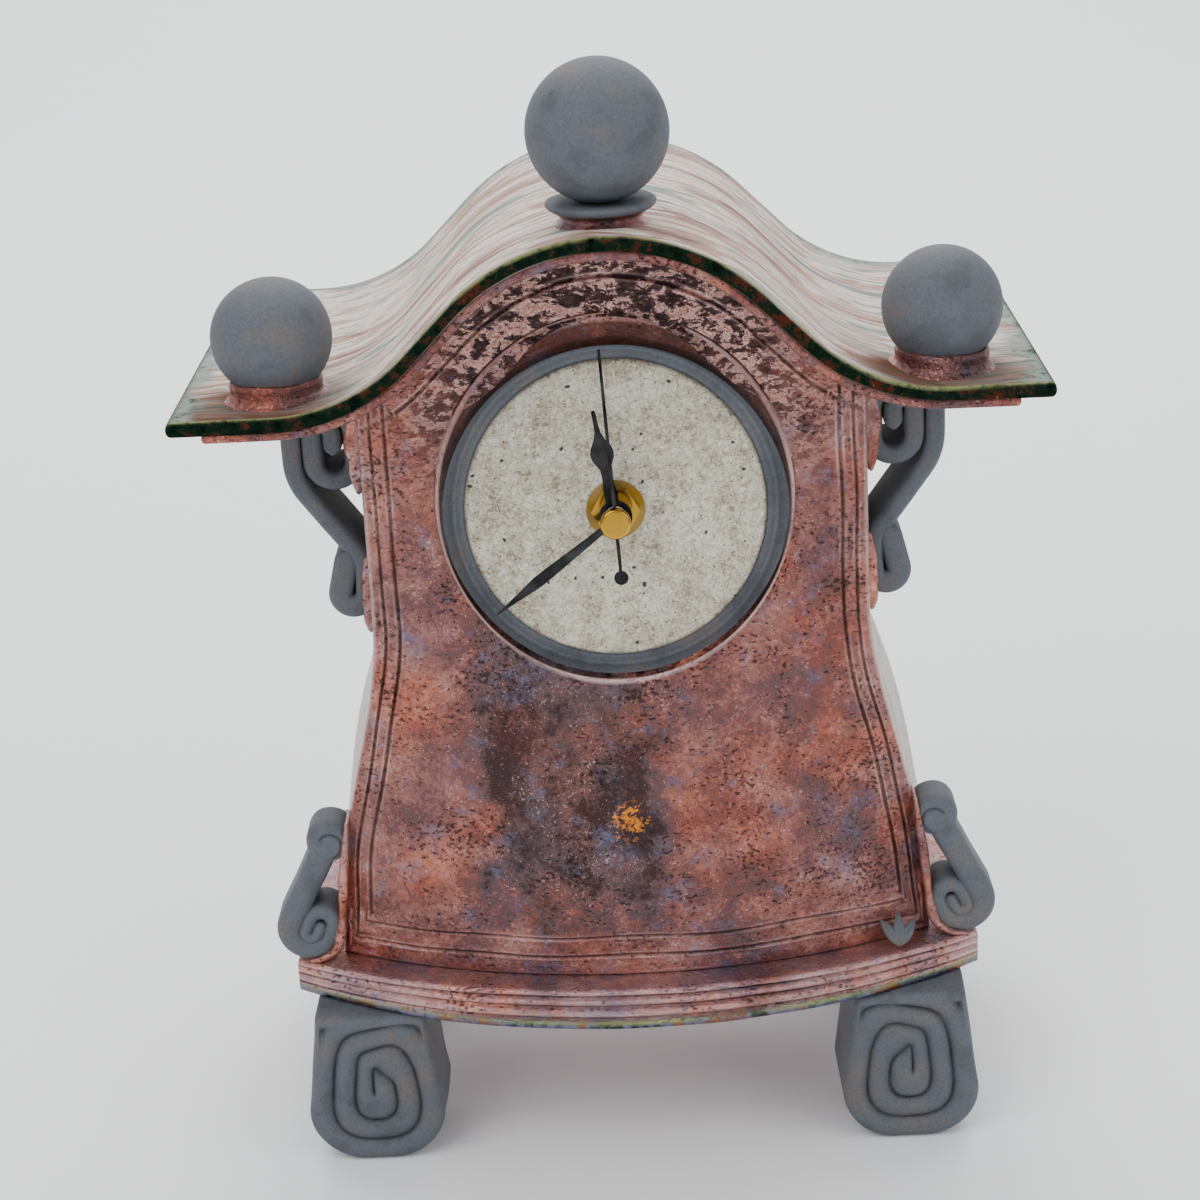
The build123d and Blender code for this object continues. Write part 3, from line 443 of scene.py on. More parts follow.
def make_piece(name, skins, material, body="case", replaces=(), attributes=None):
    """A Blender object from closed skins in millimetres, welded where their points meet, riding on a body."""
    points, faces, count = [], [], 0
    for skin_points, skin_faces in skins:
        faces += [[index + count for index in face] for face in facing_out(skin_points, skin_faces)]
        points.append(skin_points)
        count += len(skin_points)
    mesh = bpy.data.meshes.new(name)
    mesh.from_pydata((np.vstack(points) * MM).tolist(), [], faces)
    for label, values in (attributes or {}).items():
        marks = mesh.attributes.new(label, "FLOAT", "POINT")
        marks.data.foreach_set("value", np.ravel(values).astype(np.float32))
    welded = bmesh.new()
    welded.from_mesh(mesh)
    bmesh.ops.remove_doubles(welded, verts=welded.verts, dist=WELD_GAP)
    bmesh.ops.dissolve_degenerate(welded, edges=welded.edges, dist=SLIVER)
    welded.to_mesh(mesh)
    welded.free()
    mesh.shade_smooth()
    mesh.materials.append(material)
    piece = bpy.data.objects.new(name, mesh)
    bpy.context.scene.collection.objects.link(piece)
    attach(piece, body)
    if replaces:
        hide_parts(*replaces)
    return piece


def make_pair(name, skins, material, node=None):
    """A piece on the right and its mirror image on the left, which may stand for a pair of CAD nodes."""
    for side, turned in (("right", skins), ("left", [mirrored(skin) for skin in skins])):
        replaces = [f"{side}_{node}"] if node else ()
        make_piece(f"{side}_{name}", turned, material, replaces=replaces)


def dress(names, material):
    """CAD nodes that keep their shape take a finish."""
    for name in names:
        for place in NODES[name].material_slots:
            place.material = material


# Finishes: each starts from the real material and how its surface was made


def feed(tree, place, value):
    """Links a socket to an input, or sets a value on it."""
    if isinstance(value, bpy.types.NodeSocket):
        tree.links.new(value, place)
    else:
        place.default_value = value


def add_node(tree, kind, inputs=None, stops=None, out=0, **settings):
    """Adds a shader node: settings, colour stops, then inputs, linked from a socket or set to a value."""
    made = tree.nodes.new("ShaderNode" + kind)
    for key, value in settings.items():
        setattr(made, key, value)
    if stops:
        elements = made.color_ramp.elements
        while len(elements) < len(stops):
            elements.new(1.0)
        for element, (place, colour) in zip(elements, stops):
            element.position, element.color = place, colour
    for key, value in (inputs or {}).items():
        feed(tree, made.inputs[key], value)
    return made.outputs[out] if made.outputs else made


def grey(level):
    """A grey, which may go past 1 where it brightens what it multiplies."""
    return (level, level, level, 1)


def rising(low, high, peak=1.0):
    """Colour stops that go from black at one place to a grey at another."""
    return [(low, BLACK), (high, grey(peak))]


def picked(colours, *names):
    """The named colours as plain tuples."""
    return [tuple(getattr(colours, name)) for name in names]


def between(first, second, share):
    """A colour part of the way from one to another."""
    return tuple((1 - share) * a + share * b for a, b in zip(first, second))


def per_metre(millimetres):
    """A pattern's scale from the real size of one of its marks."""
    return 1000.0 / millimetres


def start_finish(name):
    """An empty material: itself, a node adder, its shader node and the object coordinates."""
    material = bpy.data.materials.get(name) or bpy.data.materials.new(name)
    material.use_nodes = True
    tree = material.node_tree
    tree.nodes.clear()
    add = partial(add_node, tree)
    surface = add("BsdfPrincipled")
    add("OutputMaterial", {"Surface": surface})
    return material, add, surface.node, add("TexCoord", out="Object")


def settle(material, shader, **sockets):
    """Links sockets or sets values on the shader's inputs, named with underscores for spaces."""
    for key, value in sockets.items():
        feed(material.node_tree, shader.inputs[key.replace("_", " ")], value)
    return material


def smoked_stoneware(colours, name="smoked_stoneware", hub=None):
    """Grogged stoneware smoked in a lidded bin: dry, blue-grey and sandy, browner where the smoke thinned.

    A crease attribute darkens the creases towards near black as painted shade. On the dial's plate the hub's
    place adds the faint rings of the throwing wheel, which also lighten the whole plate as painted light
    against the shade of its recess.
    """
    material, add, shader, place = start_finish(name)
    clay, dark, warm = picked(colours, "clay", "clay_dark", "clay_warm")
    clouds = add("TexNoise", {"Vector": place, "Scale": per_metre(13), "Detail": 5.0, "Roughness": 0.6})
    grit = add("TexNoise", {"Vector": place, "Scale": per_metre(0.8), "Detail": 3.0, "Roughness": 0.7})
    smoke = add("ValToRGB", {"Fac": clouds}, [
        (0.36, between(dark, clay, 0.6)), (0.46, clay), (0.52, clay), (0.64, between(clay, warm, 0.6)),
    ])
    sand = add("ValToRGB", {"Fac": grit}, [(0.3, (0.5, 0.5, 0.51, 1)), (0.5, grey(0.95)), (0.75, grey(1.3))])
    colour = add("Mix", {SHARE: 0.5, UNDER: smoke, OVER: sand}, **COLOUR_MIX, blend_type="MULTIPLY")
    # Painted shade: the creases darken towards near black
    crease = add("Attribute", out="Fac", attribute_name="crease")
    colour = add("Mix", {SHARE: crease, UNDER: colour, OVER: between(dark, BLACK, 0.8)}, **COLOUR_MIX)
    height = grit
    if hub:
        reach = add("VectorMath", {0: place, 1: hub}, out="Value", operation="DISTANCE")
        rings = add("TexNoise", {"W": reach, "Scale": per_metre(1.6), "Detail": 2.0}, noise_dimensions="1D")
        # The throwing wheel's rings, over a painted light that lightens the whole recessed plate against its
        # shade
        throwing_rings_lightened = add("ValToRGB", {"Fac": rings}, [(0.3, (1.1, 1.1, 1.08, 1)), (0.7, (1.7, 1.7, 1.66, 1))])
        colour = add("Mix", {SHARE: 1.0, UNDER: colour, OVER: throwing_rings_lightened}, **COLOUR_MIX, blend_type="MULTIPLY")
        height = add("Math", {0: rings, 1: 1.2, 2: grit}, operation="MULTIPLY_ADD")
    rough = add("MapRange", {"Value": clouds, "To Min": 0.55, "To Max": 0.8})
    bump = add("Bump", {"Height": height, "Strength": 0.5, "Distance": 0.00022})
    return settle(material, shader, Base_Color=colour, Roughness=rough, Normal=bump)


def panel_level(add, place, drift, level):
    """The copper's level on the front panel: lower in a brown patch, higher at the borders.

    The patch is a soft-cornered rectangle under the porthole, its middle 15 mm to the left and 107 mm up, its
    half sizes 27 and 36 mm.
    """
    patch = add("Mapping", {"Vector": place, "Location": (0.56, 0.0, -2.95), "Scale": (37.0, 0.0, 27.5)})
    patch = add("VectorMath", {0: patch}, operation="ABSOLUTE")
    sides = add("SeparateXYZ", {"Vector": patch})
    patch = add("Math", {0: sides, 1: sides.node.outputs["Z"], 2: 0.5}, operation="SMOOTH_MAX")
    patch = add("Math", {0: drift, 1: 0.7, 2: patch}, operation="MULTIPLY_ADD")
    patch = add("MapRange", {
        "Value": patch, "From Min": 1.0, "From Max": 1.5, "To Min": -0.11, "To Max": 0.015,
    })
    level = add("Math", {0: level, 1: patch}, operation="ADD")
    # Towards the borders the level rises into pink, partly the glaze's own colour and partly a painted sheen
    border = add("Attribute", out="Fac", attribute_name="edge_mm")
    border = add("MapRange", {
        "Value": border, "From Min": 3.0, "From Max": 12.0, "To Min": 0.05, "To Max": 0.0,
    })
    return add("Math", {0: level, 1: border}, operation="ADD")


def panel_marks(add, place, flakes, colour, colours):
    """The front panel's own marks: a torn dark skin over the crown and a golden flash.

    The crown is 15 to 33 mm from the panel's top and up to 60 mm from its middle line. The flash lies 97 mm
    up, and it is about 12 mm to each side and 14 mm high; it is partly the glaze's orange flash and partly a
    painted highlight.
    """
    maroon, umber, ember, salmon, flash = picked(colours, "maroon", "umber", "ember", "salmon", "flash")
    crown = add("Attribute", out="Fac", attribute_name="top_mm")
    crown = add("MapRange", {"Value": crown, "From Min": 33.0, "From Max": 15.0, "To Max": 1.0})
    sides = add("SeparateXYZ", {"Vector": place})
    sides = add("Math", {0: sides}, operation="ABSOLUTE")
    sides = add("MapRange", {"Value": sides, "From Min": 0.06, "From Max": 0.034, "To Max": 1.0})
    crown = add("Math", {0: crown, 1: sides}, operation="MULTIPLY")
    long = add("Mapping", {"Vector": place, "Scale": (0.55, 1.0, 1.0)})
    torn = add("TexNoise", {
        "Vector": long, "Scale": per_metre(2.8), "Detail": 10.0, "Roughness": 0.78, "Distortion": 0.3,
    })
    skin = add("ValToRGB", {"Fac": torn}, [
        (0.355, salmon), (0.43, ember), (0.47, (1.0, 0.64, 0.55, 1)), (0.49, between(maroon, umber, 0.5)),
        (0.6, between(maroon, BLACK, 0.45)),
    ])
    colour = add("Mix", {SHARE: crown, UNDER: colour, OVER: skin}, **COLOUR_MIX)
    # Golden flash on the lower middle, partly the glaze's own and partly a painted highlight of a lamp
    spot = add("Mapping", {"Vector": place, "Location": (0.0, 8.2, -6.9), "Scale": (84.0, 160.0, 71.0)})
    spot = add("VectorMath", {0: spot}, out="Value", operation="LENGTH")
    spot = add("MapRange", {"Value": spot, "To Min": 0.33, "To Max": -0.1})
    spot = add("Math", {0: spot, 1: flakes}, operation="ADD")
    spot = add("ValToRGB", {"Fac": spot}, rising(0.72, 0.82))
    return add("Mix", {SHARE: spot, UNDER: colour, OVER: flash}, **COLOUR_MIX)


def copper_lustre(colours, name, pinkness=0.0, panel=False, veiled=0.535):
    """Copper lustre raku glaze reduced in smoke: a thin, uneven skin of metal over pitted clay.

    Browns and reds drift into orange and pink in clouds. Blue veils lie over them, from the veiled level of
    their noise up, small bubbles burst into dark pits, and bright pink flecks are partly the glaze's own and
    partly painted glints. A groove attribute paints shade into grooves, a ridge attribute paints a pale pink
    highlight along edges where the glaze also breaks thin, and a rim attribute fires to grey-violet and
    green, with a painted yellow-green highlight on its ridges. The front panel has zones of its own, two of
    them partly painted light.
    """
    material, add, shader, place = start_finish(name)
    maroon, umber, brick, ember, salmon = picked(colours, "maroon", "umber", "brick", "ember", "salmon")
    lilac, pit, green, sage, flash = picked(colours, "lilac", "pit", "verdigris", "sage", "flash")
    clouds = add("TexNoise", {"Vector": place, "Scale": per_metre(34), "Detail": 3.0, "Distortion": 0.6})
    drift = add("TexNoise", {"Vector": place, "Scale": per_metre(9), "Detail": 6.0, "Roughness": 0.66})
    flakes = add("TexNoise", {
        "Vector": place, "Scale": per_metre(1.5), "Detail": 5.0, "Roughness": 0.7, "Distortion": 0.6,
    })
    level = add("Math", {0: clouds, 1: 0.38, 2: pinkness + 0.105}, operation="MULTIPLY_ADD")
    level = add("Math", {0: drift, 1: 0.42, 2: level}, operation="MULTIPLY_ADD")
    level = add("Math", {0: flakes, 1: 0.34, 2: level}, operation="MULTIPLY_ADD")
    if panel:
        level = panel_level(add, place, drift, level)
    colour = add("ValToRGB", {"Fac": level}, [
        (0.5, maroon), (0.59, umber), (0.66, brick), (0.75, ember), (0.85, between(ember, salmon, 0.45)),
        (0.97, salmon),
    ])
    hue = add("TexNoise", {
        "Vector": place, "W": 5.0, "Scale": per_metre(21), "Detail": 5.0,
    }, noise_dimensions="4D")
    hue = add("ValToRGB", {"Fac": hue}, [
        (0.38, (1.22, 0.97, 0.83, 1)), (0.49, WHITE), (0.6, (0.88, 0.98, 1.1, 1)),
    ])
    colour = add("Mix", {SHARE: 1.0, UNDER: colour, OVER: hue}, **COLOUR_MIX, blend_type="MULTIPLY")
    veil = add("TexNoise", {
        "Vector": place, "W": 3.0, "Scale": per_metre(10), "Detail": 9.0, "Roughness": 0.78,
    }, noise_dimensions="4D")
    veil = add("ValToRGB", {"Fac": veil}, rising(veiled, veiled + 0.13, 0.62))
    colour = add("Mix", {SHARE: veil, UNDER: colour, OVER: lilac}, **COLOUR_MIX)
    flecks = add("TexNoise", {
        "Vector": place, "Scale": per_metre(0.6), "Detail": 3.0, "Roughness": 0.65, "Distortion": 1.0,
    })
    flecks = add("Math", {0: drift, 1: 0.3, 2: flecks}, operation="MULTIPLY_ADD")
    flecks = add("ValToRGB", {"Fac": flecks}, rising(0.77, 0.85, 0.8))
    # Pink flecks in the glaze, lightened towards white so that they also stand in as painted glints
    shine = between(salmon, (1, 0.9, 0.84, 1), 0.12)
    colour = add("Mix", {SHARE: flecks, UNDER: colour, OVER: shine}, **COLOUR_MIX)
    wide = add("Mapping", {"Vector": place, "Scale": (0.65, 1.0, 1.0)})
    pocks = add("TexNoise", {
        "Vector": wide, "W": 9.0, "Scale": per_metre(0.85), "Detail": 3.0, "Roughness": 0.6,
    }, noise_dimensions="4D")
    crowd = add("TexNoise", {
        "Vector": place, "W": 7.0, "Scale": per_metre(18), "Detail": 3.0,
    }, noise_dimensions="4D")
    crowd = add("MapRange", {"Value": crowd, "From Min": 0.35, "From Max": 0.68, "To Max": 0.14})
    pocks = add("Math", {0: pocks, 1: crowd}, operation="ADD")
    pocks = add("ValToRGB", {"Fac": pocks}, rising(0.66, 0.73, 0.75))
    colour = add("Mix", {SHARE: pocks, UNDER: colour, OVER: pit}, **COLOUR_MIX)
    height = add("Math", {0: pocks, 1: -0.8, 2: flakes}, operation="MULTIPLY_ADD")
    if panel:
        colour = panel_marks(add, place, flakes, colour, colours)
    rim = add("Attribute", out="Fac", attribute_name="rim")
    oxide = add("ValToRGB", {"Fac": drift}, [
        (0.38, green), (0.47, lilac), (0.54, brick), (0.62, between(green, flash, 0.35)),
    ])
    colour = add("Mix", {SHARE: rim, UNDER: colour, OVER: oxide}, **COLOUR_MIX)
    # Painted highlight: along ridges the colour goes to pale pink, where the glaze also breaks thin; on the
    # fired rim to yellow-green
    ridge = add("Attribute", out="Fac", attribute_name="ridge")
    bright = between(salmon, (1, 0.9, 0.88, 1), 0.3)
    bright = add("Mix", {SHARE: rim, UNDER: bright, OVER: sage}, **COLOUR_MIX)
    colour = add("Mix", {SHARE: ridge, UNDER: colour, OVER: bright}, **COLOUR_MIX)
    # Painted shade: grooves and recesses darken towards the pit colour
    groove = add("Attribute", out="Fac", attribute_name="groove")
    colour = add("Mix", {SHARE: groove, UNDER: colour, OVER: pit}, **COLOUR_MIX)
    rough = add("MapRange", {
        "Value": flakes, "From Min": 0.3, "From Max": 0.7, "To Min": 0.42, "To Max": 0.24,
    })
    bump = add("Bump", {"Height": height, "Strength": 0.8, "Distance": 0.0007})
    return settle(material, shader, Base_Color=colour, Roughness=rough, Metallic=0.85, Coat_Weight=0.12,
                  Coat_Roughness=0.12, Normal=bump)


def pale_raku(colours, name, streak=(34.0, 1.9, 34.0), crackle=0.0, depth=0.8):
    """Pale raku glaze with a thin lustre: off-white, in wavy brushed streaks fired pink, tan and greenish.

    The streak gives the size of a brush mark along X, Y and Z, and the crackle that of a cell of its net, in
    millimetres. The depth says how strongly the streaks show, and the less they do, the whiter the glaze. Its
    own attribute paints a dark reflection onto the roof's wings towards their front corners, and a tarnish
    attribute turns its ends and back greenish grey with pink spots. Its edges, where the rim attribute is 1,
    fired to a dark green oxide with rusty patches, and along the arris, the ridge attribute, a broken
    yellow-green highlight is painted. It has no mirror gloss, which would whiten the roof at a low angle.
    """
    material, add, shader, place = start_finish(name)
    pale, pink, green, tan_brown = picked(colours, "pale", "pale_pink", "pale_green", "pale_tan")
    oxide_green, sage, rust, brick = picked(colours, "verdigris", "sage", "rust", "brick")
    pale = between((0.68, 0.66, 0.62, 1), pale, min(1.25 * depth, 1.0))
    sway = add("TexNoise", {"Vector": place, "Scale": per_metre(46), "Detail": 1.5}, out="Color")
    sway = add("VectorMath", {0: sway, 1: (0.02, 0.018, 0.02), 2: place}, operation="MULTIPLY_ADD")
    fine = add("Mapping", {"Vector": sway, "Scale": tuple(per_metre(size) for size in streak)})
    strokes = add("TexNoise", {
        "Vector": fine, "Scale": 1.0, "Detail": 7.0, "Roughness": 0.8, "Distortion": 0.4,
    })
    wider = [size * times for size, times in zip(streak, (1.2, 5.0, 1.2))]
    broad = add("Mapping", {"Vector": sway, "Scale": tuple(per_metre(size) for size in wider)})
    bands = add("TexNoise", {
        "Vector": broad, "Scale": 1.0, "Detail": 5.0, "Roughness": 0.6, "Distortion": 0.5,
    })
    colour = add("ValToRGB", {"Fac": bands}, [
        (0.38, between(pale, green, depth)), (0.45, pale), (0.5, pale), (0.555, between(pale, pink, depth)),
        (0.64, between(pale, between(pink, tan_brown, 0.5), depth)),
    ])
    hairs = add("ValToRGB", {"Fac": strokes}, [
        (0.39, (0.26, 0.22, 0.2, 1)), (0.45, (0.66, 0.6, 0.57, 1)), (0.5, grey(1.2)),
        (0.54, (0.88, 0.8, 0.76, 1)), (0.61, (0.32, 0.25, 0.22, 1)),
    ])
    colour = add("Mix", {SHARE: depth, UNDER: colour, OVER: hairs}, **COLOUR_MIX, blend_type="MULTIPLY")
    # Painted dark reflection on the wings towards their front corners, in smoky browns broken by the bands
    blush = add("Attribute", out="Fac", attribute_name="blush")
    blush = add("Math", {0: blush, 1: bands}, operation="MULTIPLY")
    smoke = add("ValToRGB", {"Fac": strokes}, [
        (0.4, between(green, BLACK, 0.7)), (0.5, tan_brown), (0.58, between(brick, tan_brown, 0.5)),
    ])
    colour = add("Mix", {SHARE: blush, UNDER: colour, OVER: smoke}, **COLOUR_MIX)
    if crackle:
        cells = add("TexVoronoi", {"Vector": place, "Scale": per_metre(crackle)}, feature="DISTANCE_TO_EDGE")
        lines = add("MapRange", {"Value": cells, "From Max": 0.05, "To Min": 0.5, "To Max": 0.0})
        colour = add("Mix", {SHARE: lines, UNDER: colour, OVER: between(tan_brown, BLACK, 0.7)}, **COLOUR_MIX)
    rim = add("Attribute", out="Fac", attribute_name="rim")
    patches = add("TexNoise", {"Vector": place, "Scale": per_metre(4.5), "Detail": 9.0, "Roughness": 0.84})
    tarnish = add("Attribute", out="Fac", attribute_name="tarnish")
    teal = add("ValToRGB", {"Fac": patches}, [
        (0.4, oxide_green), (0.47, green), (0.56, green), (0.6, pink), (0.66, brick),
    ])
    colour = add("Mix", {SHARE: tarnish, UNDER: colour, OVER: teal}, **COLOUR_MIX)
    oxide = add("ValToRGB", {"Fac": patches}, [
        (0.36, between(oxide_green, BLACK, 0.85)), (0.46, between(oxide_green, BLACK, 0.3)),
        (0.53, oxide_green), (0.57, rust), (0.64, between(rust, BLACK, 0.5)), (0.72, sage),
    ])
    colour = add("Mix", {SHARE: rim, UNDER: colour, OVER: oxide}, **COLOUR_MIX)
    # Painted highlight: a broken yellow-green line along the arris
    ridge = add("Attribute", out="Fac", attribute_name="ridge")
    broken = add("ValToRGB", {"Fac": patches}, rising(0.38, 0.52))
    ridge = add("Math", {0: ridge, 1: broken}, operation="MULTIPLY")
    colour = add("Mix", {SHARE: ridge, UNDER: colour, OVER: sage}, **COLOUR_MIX)
    rough = add("MapRange", {"Value": strokes, "To Min": 0.3, "To Max": 0.5})
    bump = add("Bump", {"Height": strokes, "Strength": 0.4, "Distance": 0.0004})
    return settle(material, shader, Base_Color=colour, Roughness=rough, Specular_IOR_Level=0.0, Normal=bump)


def white_crackle(colours):
    """Off-white raku glaze on the dial: soft gloss, fine brown grain, a tan crackle net and black bubbles.

    The bubbles come in two sizes, each given by their spacing in millimetres, the share of it that a bubble
    fills, the share of places left empty, and how dark they are.
    """
    material, add, shader, place = start_finish("white_crackle_glaze")
    face, stain = picked(colours, "face", "face_stain")
    mottle = add("TexNoise", {"Vector": place, "Scale": per_metre(7), "Detail": 6.0, "Roughness": 0.68})
    grain = add("TexNoise", {
        "Vector": place, "Scale": per_metre(1.1), "Detail": 4.0, "Roughness": 0.7, "Distortion": 1.2,
    })
    tone = add("Math", {0: mottle, 1: 0.5}, operation="MULTIPLY")
    tone = add("Math", {0: grain, 1: 0.8, 2: tone}, operation="MULTIPLY_ADD")
    colour = add("ValToRGB", {"Fac": tone}, [
        (0.51, between(face, (1, 1, 0.94, 1), 0.42)), (0.63, face), (0.7, between(face, stain, 0.6)),
        (0.78, between(stain, BLACK, 0.4)),
    ])
    bend = add("TexNoise", {"Vector": place, "Scale": per_metre(4), "Detail": 3.0}, out="Color")
    bend = add("VectorMath", {0: bend, 1: (0.0022, 0.0022, 0.0022), 2: place}, operation="MULTIPLY_ADD")
    flat = add("Mapping", {"Vector": bend, "Rotation": (pi / 2, 0.0, 0.0)})
    net = add("TexVoronoi", {
        "Vector": flat, "Scale": per_metre(4.4),
    }, feature="DISTANCE_TO_EDGE", voronoi_dimensions="2D")
    lines = add("MapRange", {"Value": net, "From Max": 0.06, "To Min": 0.6, "To Max": 0.0})
    colour = add("Mix", {SHARE: lines, UNDER: colour, OVER: stain}, **COLOUR_MIX)
    height = grain
    soot = (0.012, 0.013, 0.015, 1)
    for spacing, limit, empty, depth in ((8.5, 0.062, 0.6, 0.96), (2.6, 0.1, 0.74, 0.8)):
        dots = add("TexVoronoi", {"Vector": flat, "Scale": per_metre(spacing)}, voronoi_dimensions="2D")
        few = add("SeparateColor", {"Color": dots.node.outputs["Color"]})
        few = add("Math", {0: few, 1: empty}, operation="GREATER_THAN")
        dot = add("MapRange", {"Value": dots, "From Min": limit, "From Max": limit * 0.75, "To Max": depth})
        dot = add("Math", {0: dot, 1: few}, operation="MULTIPLY")
        colour = add("Mix", {SHARE: dot, UNDER: colour, OVER: soot}, **COLOUR_MIX)
        height = add("Math", {0: dot, 1: -1.0, 2: height}, operation="MULTIPLY_ADD")
    bump = add("Bump", {"Height": height, "Strength": 0.3, "Distance": 0.0003})
    return settle(material, shader, Base_Color=colour, Roughness=0.42, Normal=bump)


def plain_finish(name, colour, metallic, roughness, grain_mm, grain_depth, tone=0.12, specular=0.5):
    """A moulded, turned or painted surface: one colour with uneven tone, uneven gloss and a fine grain."""
    material, add, shader, place = start_finish(name)
    grain = add("TexNoise", {"Vector": place, "Scale": per_metre(grain_mm), "Detail": 3.0})
    drift = add("TexNoise", {"Vector": place, "Scale": per_metre(grain_mm * 14), "Detail": 3.0})
    low, high = between(colour, BLACK, tone), between(colour, WHITE, tone * 0.4)
    shades = add("ValToRGB", {"Fac": drift}, [(0.3, low), (0.7, high)])
    rough = add("MapRange", {"Value": drift, "To Min": roughness * 0.8, "To Max": roughness * 1.25})
    bump = add("Bump", {"Height": grain, "Strength": 0.3, "Distance": grain_depth * MM})
    return settle(material, shader, Base_Color=shades, Roughness=rough, Metallic=metallic,
                  Specular_IOR_Level=specular, Normal=bump)


# The pieces


class CLOCK_OT_front_panel(Operator):
    """Makes the bowed front panel with its slanting porthole and scored borders"""

    bl_idname = "clock.front_panel"
    bl_label = "Front panel"

    def rays(self, s, middle, drop):
        """Even angles all round the porthole, with the nearest ray turned to each corner of the panel."""
        angles = np.linspace(0, 2 * pi, 540, endpoint=False)
        shoulder = ogee_height(np.array(s.waist_half_width), drop, s)
        for x, z in ((s.bottom_half_width, s.body_bottom), (s.waist_half_width, shoulder)):
            for sign in (-1, 1):
                aim = np.arctan2(z - middle[1], sign * x) % (2 * pi)
                angles[np.argmin(np.abs(angles - aim))] = aim
        return angles

    def rim(self, s, angles, depth, grow):
        """The porthole's ellipse at a depth out of the dial: towards the rear it drops and gets lower."""
        share = (s.dial_recess - depth) / s.wall
        right = (s.porthole_width / 2 + grow) * np.cos(angles)
        half_height = (s.porthole_height - s.porthole_taper * share) / 2 + grow
        up = s.porthole_offset - s.porthole_slant * share + half_height * np.sin(angles)
        return on_dial(as_points(right, up, depth), s)

    def scoring(self, s, grid, edge_mm, top_mm):
        """Scored lines, each a soft groove with a ridge of pushed-up clay at both its sides.

        Each line is given by what it keeps its distance from, that distance and its half width.
        """
        low_mm = grid[..., 2] - s.body_bottom
        lines = ((edge_mm, 3.4, 0.3), (edge_mm, 7.0, 0.34), (top_mm, 3.0, 0.3), (top_mm, 7.6, 0.32),
                 (low_mm, 5.6, 0.32), (low_mm, 10.8, 0.26))
        wander = 0.45 * ripple(grid, 30.0, 5)
        groove, ridge = np.zeros(grid.shape[:2]), np.zeros(grid.shape[:2])
        for away, offset, half in lines:
            beside = (away + wander - offset) / half
            groove = np.maximum(groove, np.exp(-(beside**2)))
            ridge = np.maximum(ridge, 0.5 * np.exp(-((np.abs(beside) - 2.2) ** 2)))
        return groove, ridge

    def execute(self, context):
        s = sizes_of(context)
        soft, farthest, border = 1.3, 220.0, 18.0
        groove_depth, ridge_height = 0.5, 0.2
        past_crown, square_to_ogee = 60.0, 0.82
        middle = (0.0, s.hub_z + s.porthole_offset)
        drop = s.roof_thickness + s.lining_thickness
        angles = self.rays(s, middle, drop)

        def within(x, z):
            return (np.abs(x) < side_half_width(z, s)) & (z > s.body_bottom) & (z < ogee_height(x, drop, s))

        outer = ray_reach(within, middle, angles, farthest)
        ray = as_points(np.cos(angles), np.sin(angles))

        def sheet(shares, inset, setback, bands=(0.0,)):
            """Rings from the porthole to the first band before the outline, then one at each band."""
            edge = (outer - inset)[None, :, None] * ray + np.array(middle)
            hole = self.rim(s, angles, s.dial_recess, inset)[:, [0, 2]][None]
            span = edge - hole
            near = 1 - np.array(bands).reshape(-1, 1, 1) / np.linalg.norm(span, axis=-1, keepdims=True)
            flat = hole + span * np.concatenate([shares[:, None, None] * near[0], near[1:]])
            depth = panel_depth(flat[..., 0], flat[..., 1], s) + setback
            return as_points(flat[..., 0], depth, flat[..., 1])

        shares = np.concatenate([[0.0, 0.012, 0.03], np.linspace(0.06, 1, 32)])
        once = np.ones(1)
        swing = np.linspace(0, pi / 2, 5)
        front = sheet(shares, soft, 0.0, np.linspace(border, 0.0, 64))
        front[..., 1] += 0.25 * ripple(front, 34.0, 3)
        edge = np.concatenate([sheet(once, soft * (1 - sin(t)), soft * (1 - cos(t))) for t in swing[1:]])
        side = sheet(once, 0.0, s.wall - soft)
        back = sheet(shares[::-2], soft, s.wall)
        rear_rim = self.rim(s, angles, s.dial_recess - s.wall, 0.0)
        lips = np.array([
            self.rim(s, angles, s.dial_recess - soft + soft * sin(t), soft * (1 - cos(t))) for t in swing[:-1]
        ])
        wall = np.array([rear_rim, rear_rim + (lips[0] - rear_rim) * 0.5])
        grid = np.concatenate([front, edge, side, back, wall, lips])

        edge_mm = side_half_width(grid[..., 2], s) - np.abs(grid[..., 0])
        top_mm = (ogee_height(grid[..., 0], drop, s) - grid[..., 2]) * square_to_ogee
        groove, ridge = self.scoring(s, grid, edge_mm, top_mm)
        groove[len(front):], ridge[len(front):] = 0.0, 0.0
        uneven = ripple(grid, 21.0, 6)
        grid[..., 1] += groove_depth * groove - ridge_height * ridge
        # The scored lines also colour the panel: painted highlights on their ridges and painted shade in
        # their grooves, both uneven
        ridge = np.clip(ridge * (0.35 + 0.6 * uneven), 0, 1)
        groove = np.clip(groove * (0.6 - 0.5 * uneven), 0, 0.85)
        # Painted highlight along the panel's rounded outer edge
        ridge[len(front):len(front) + len(edge)] = 0.3
        # Painted highlight on the porthole's lip, brighter towards the bottom, where the lip faces up into
        # the light
        lit = np.clip(0.42 - 0.28 * np.sin(angles) + 0.25 * uneven[0], 0.1, 0.8)
        ridge[-len(lips) + 1:] = lit
        ridge[0] = 0.7 * lit
        # Painted shade on the porthole's wall, darkest at the top
        groove[-len(lips) - len(wall):-len(lips) + 1] = 0.5 * soft_step(np.sin(angles) + 0.55)
        top_mm[-len(lips) - len(wall):] = past_crown
        values = {"edge_mm": edge_mm, "top_mm": top_mm, "groove": groove, "ridge": ridge}
        material = copper_lustre(context.scene.clock_colours, "copper_lustre_panel", panel=True)
        make_piece("front_panel_glazed", [shell(grid, close_rows=True)], material, replaces=["front_panel"],
                   attributes=values)
        return {"FINISHED"}


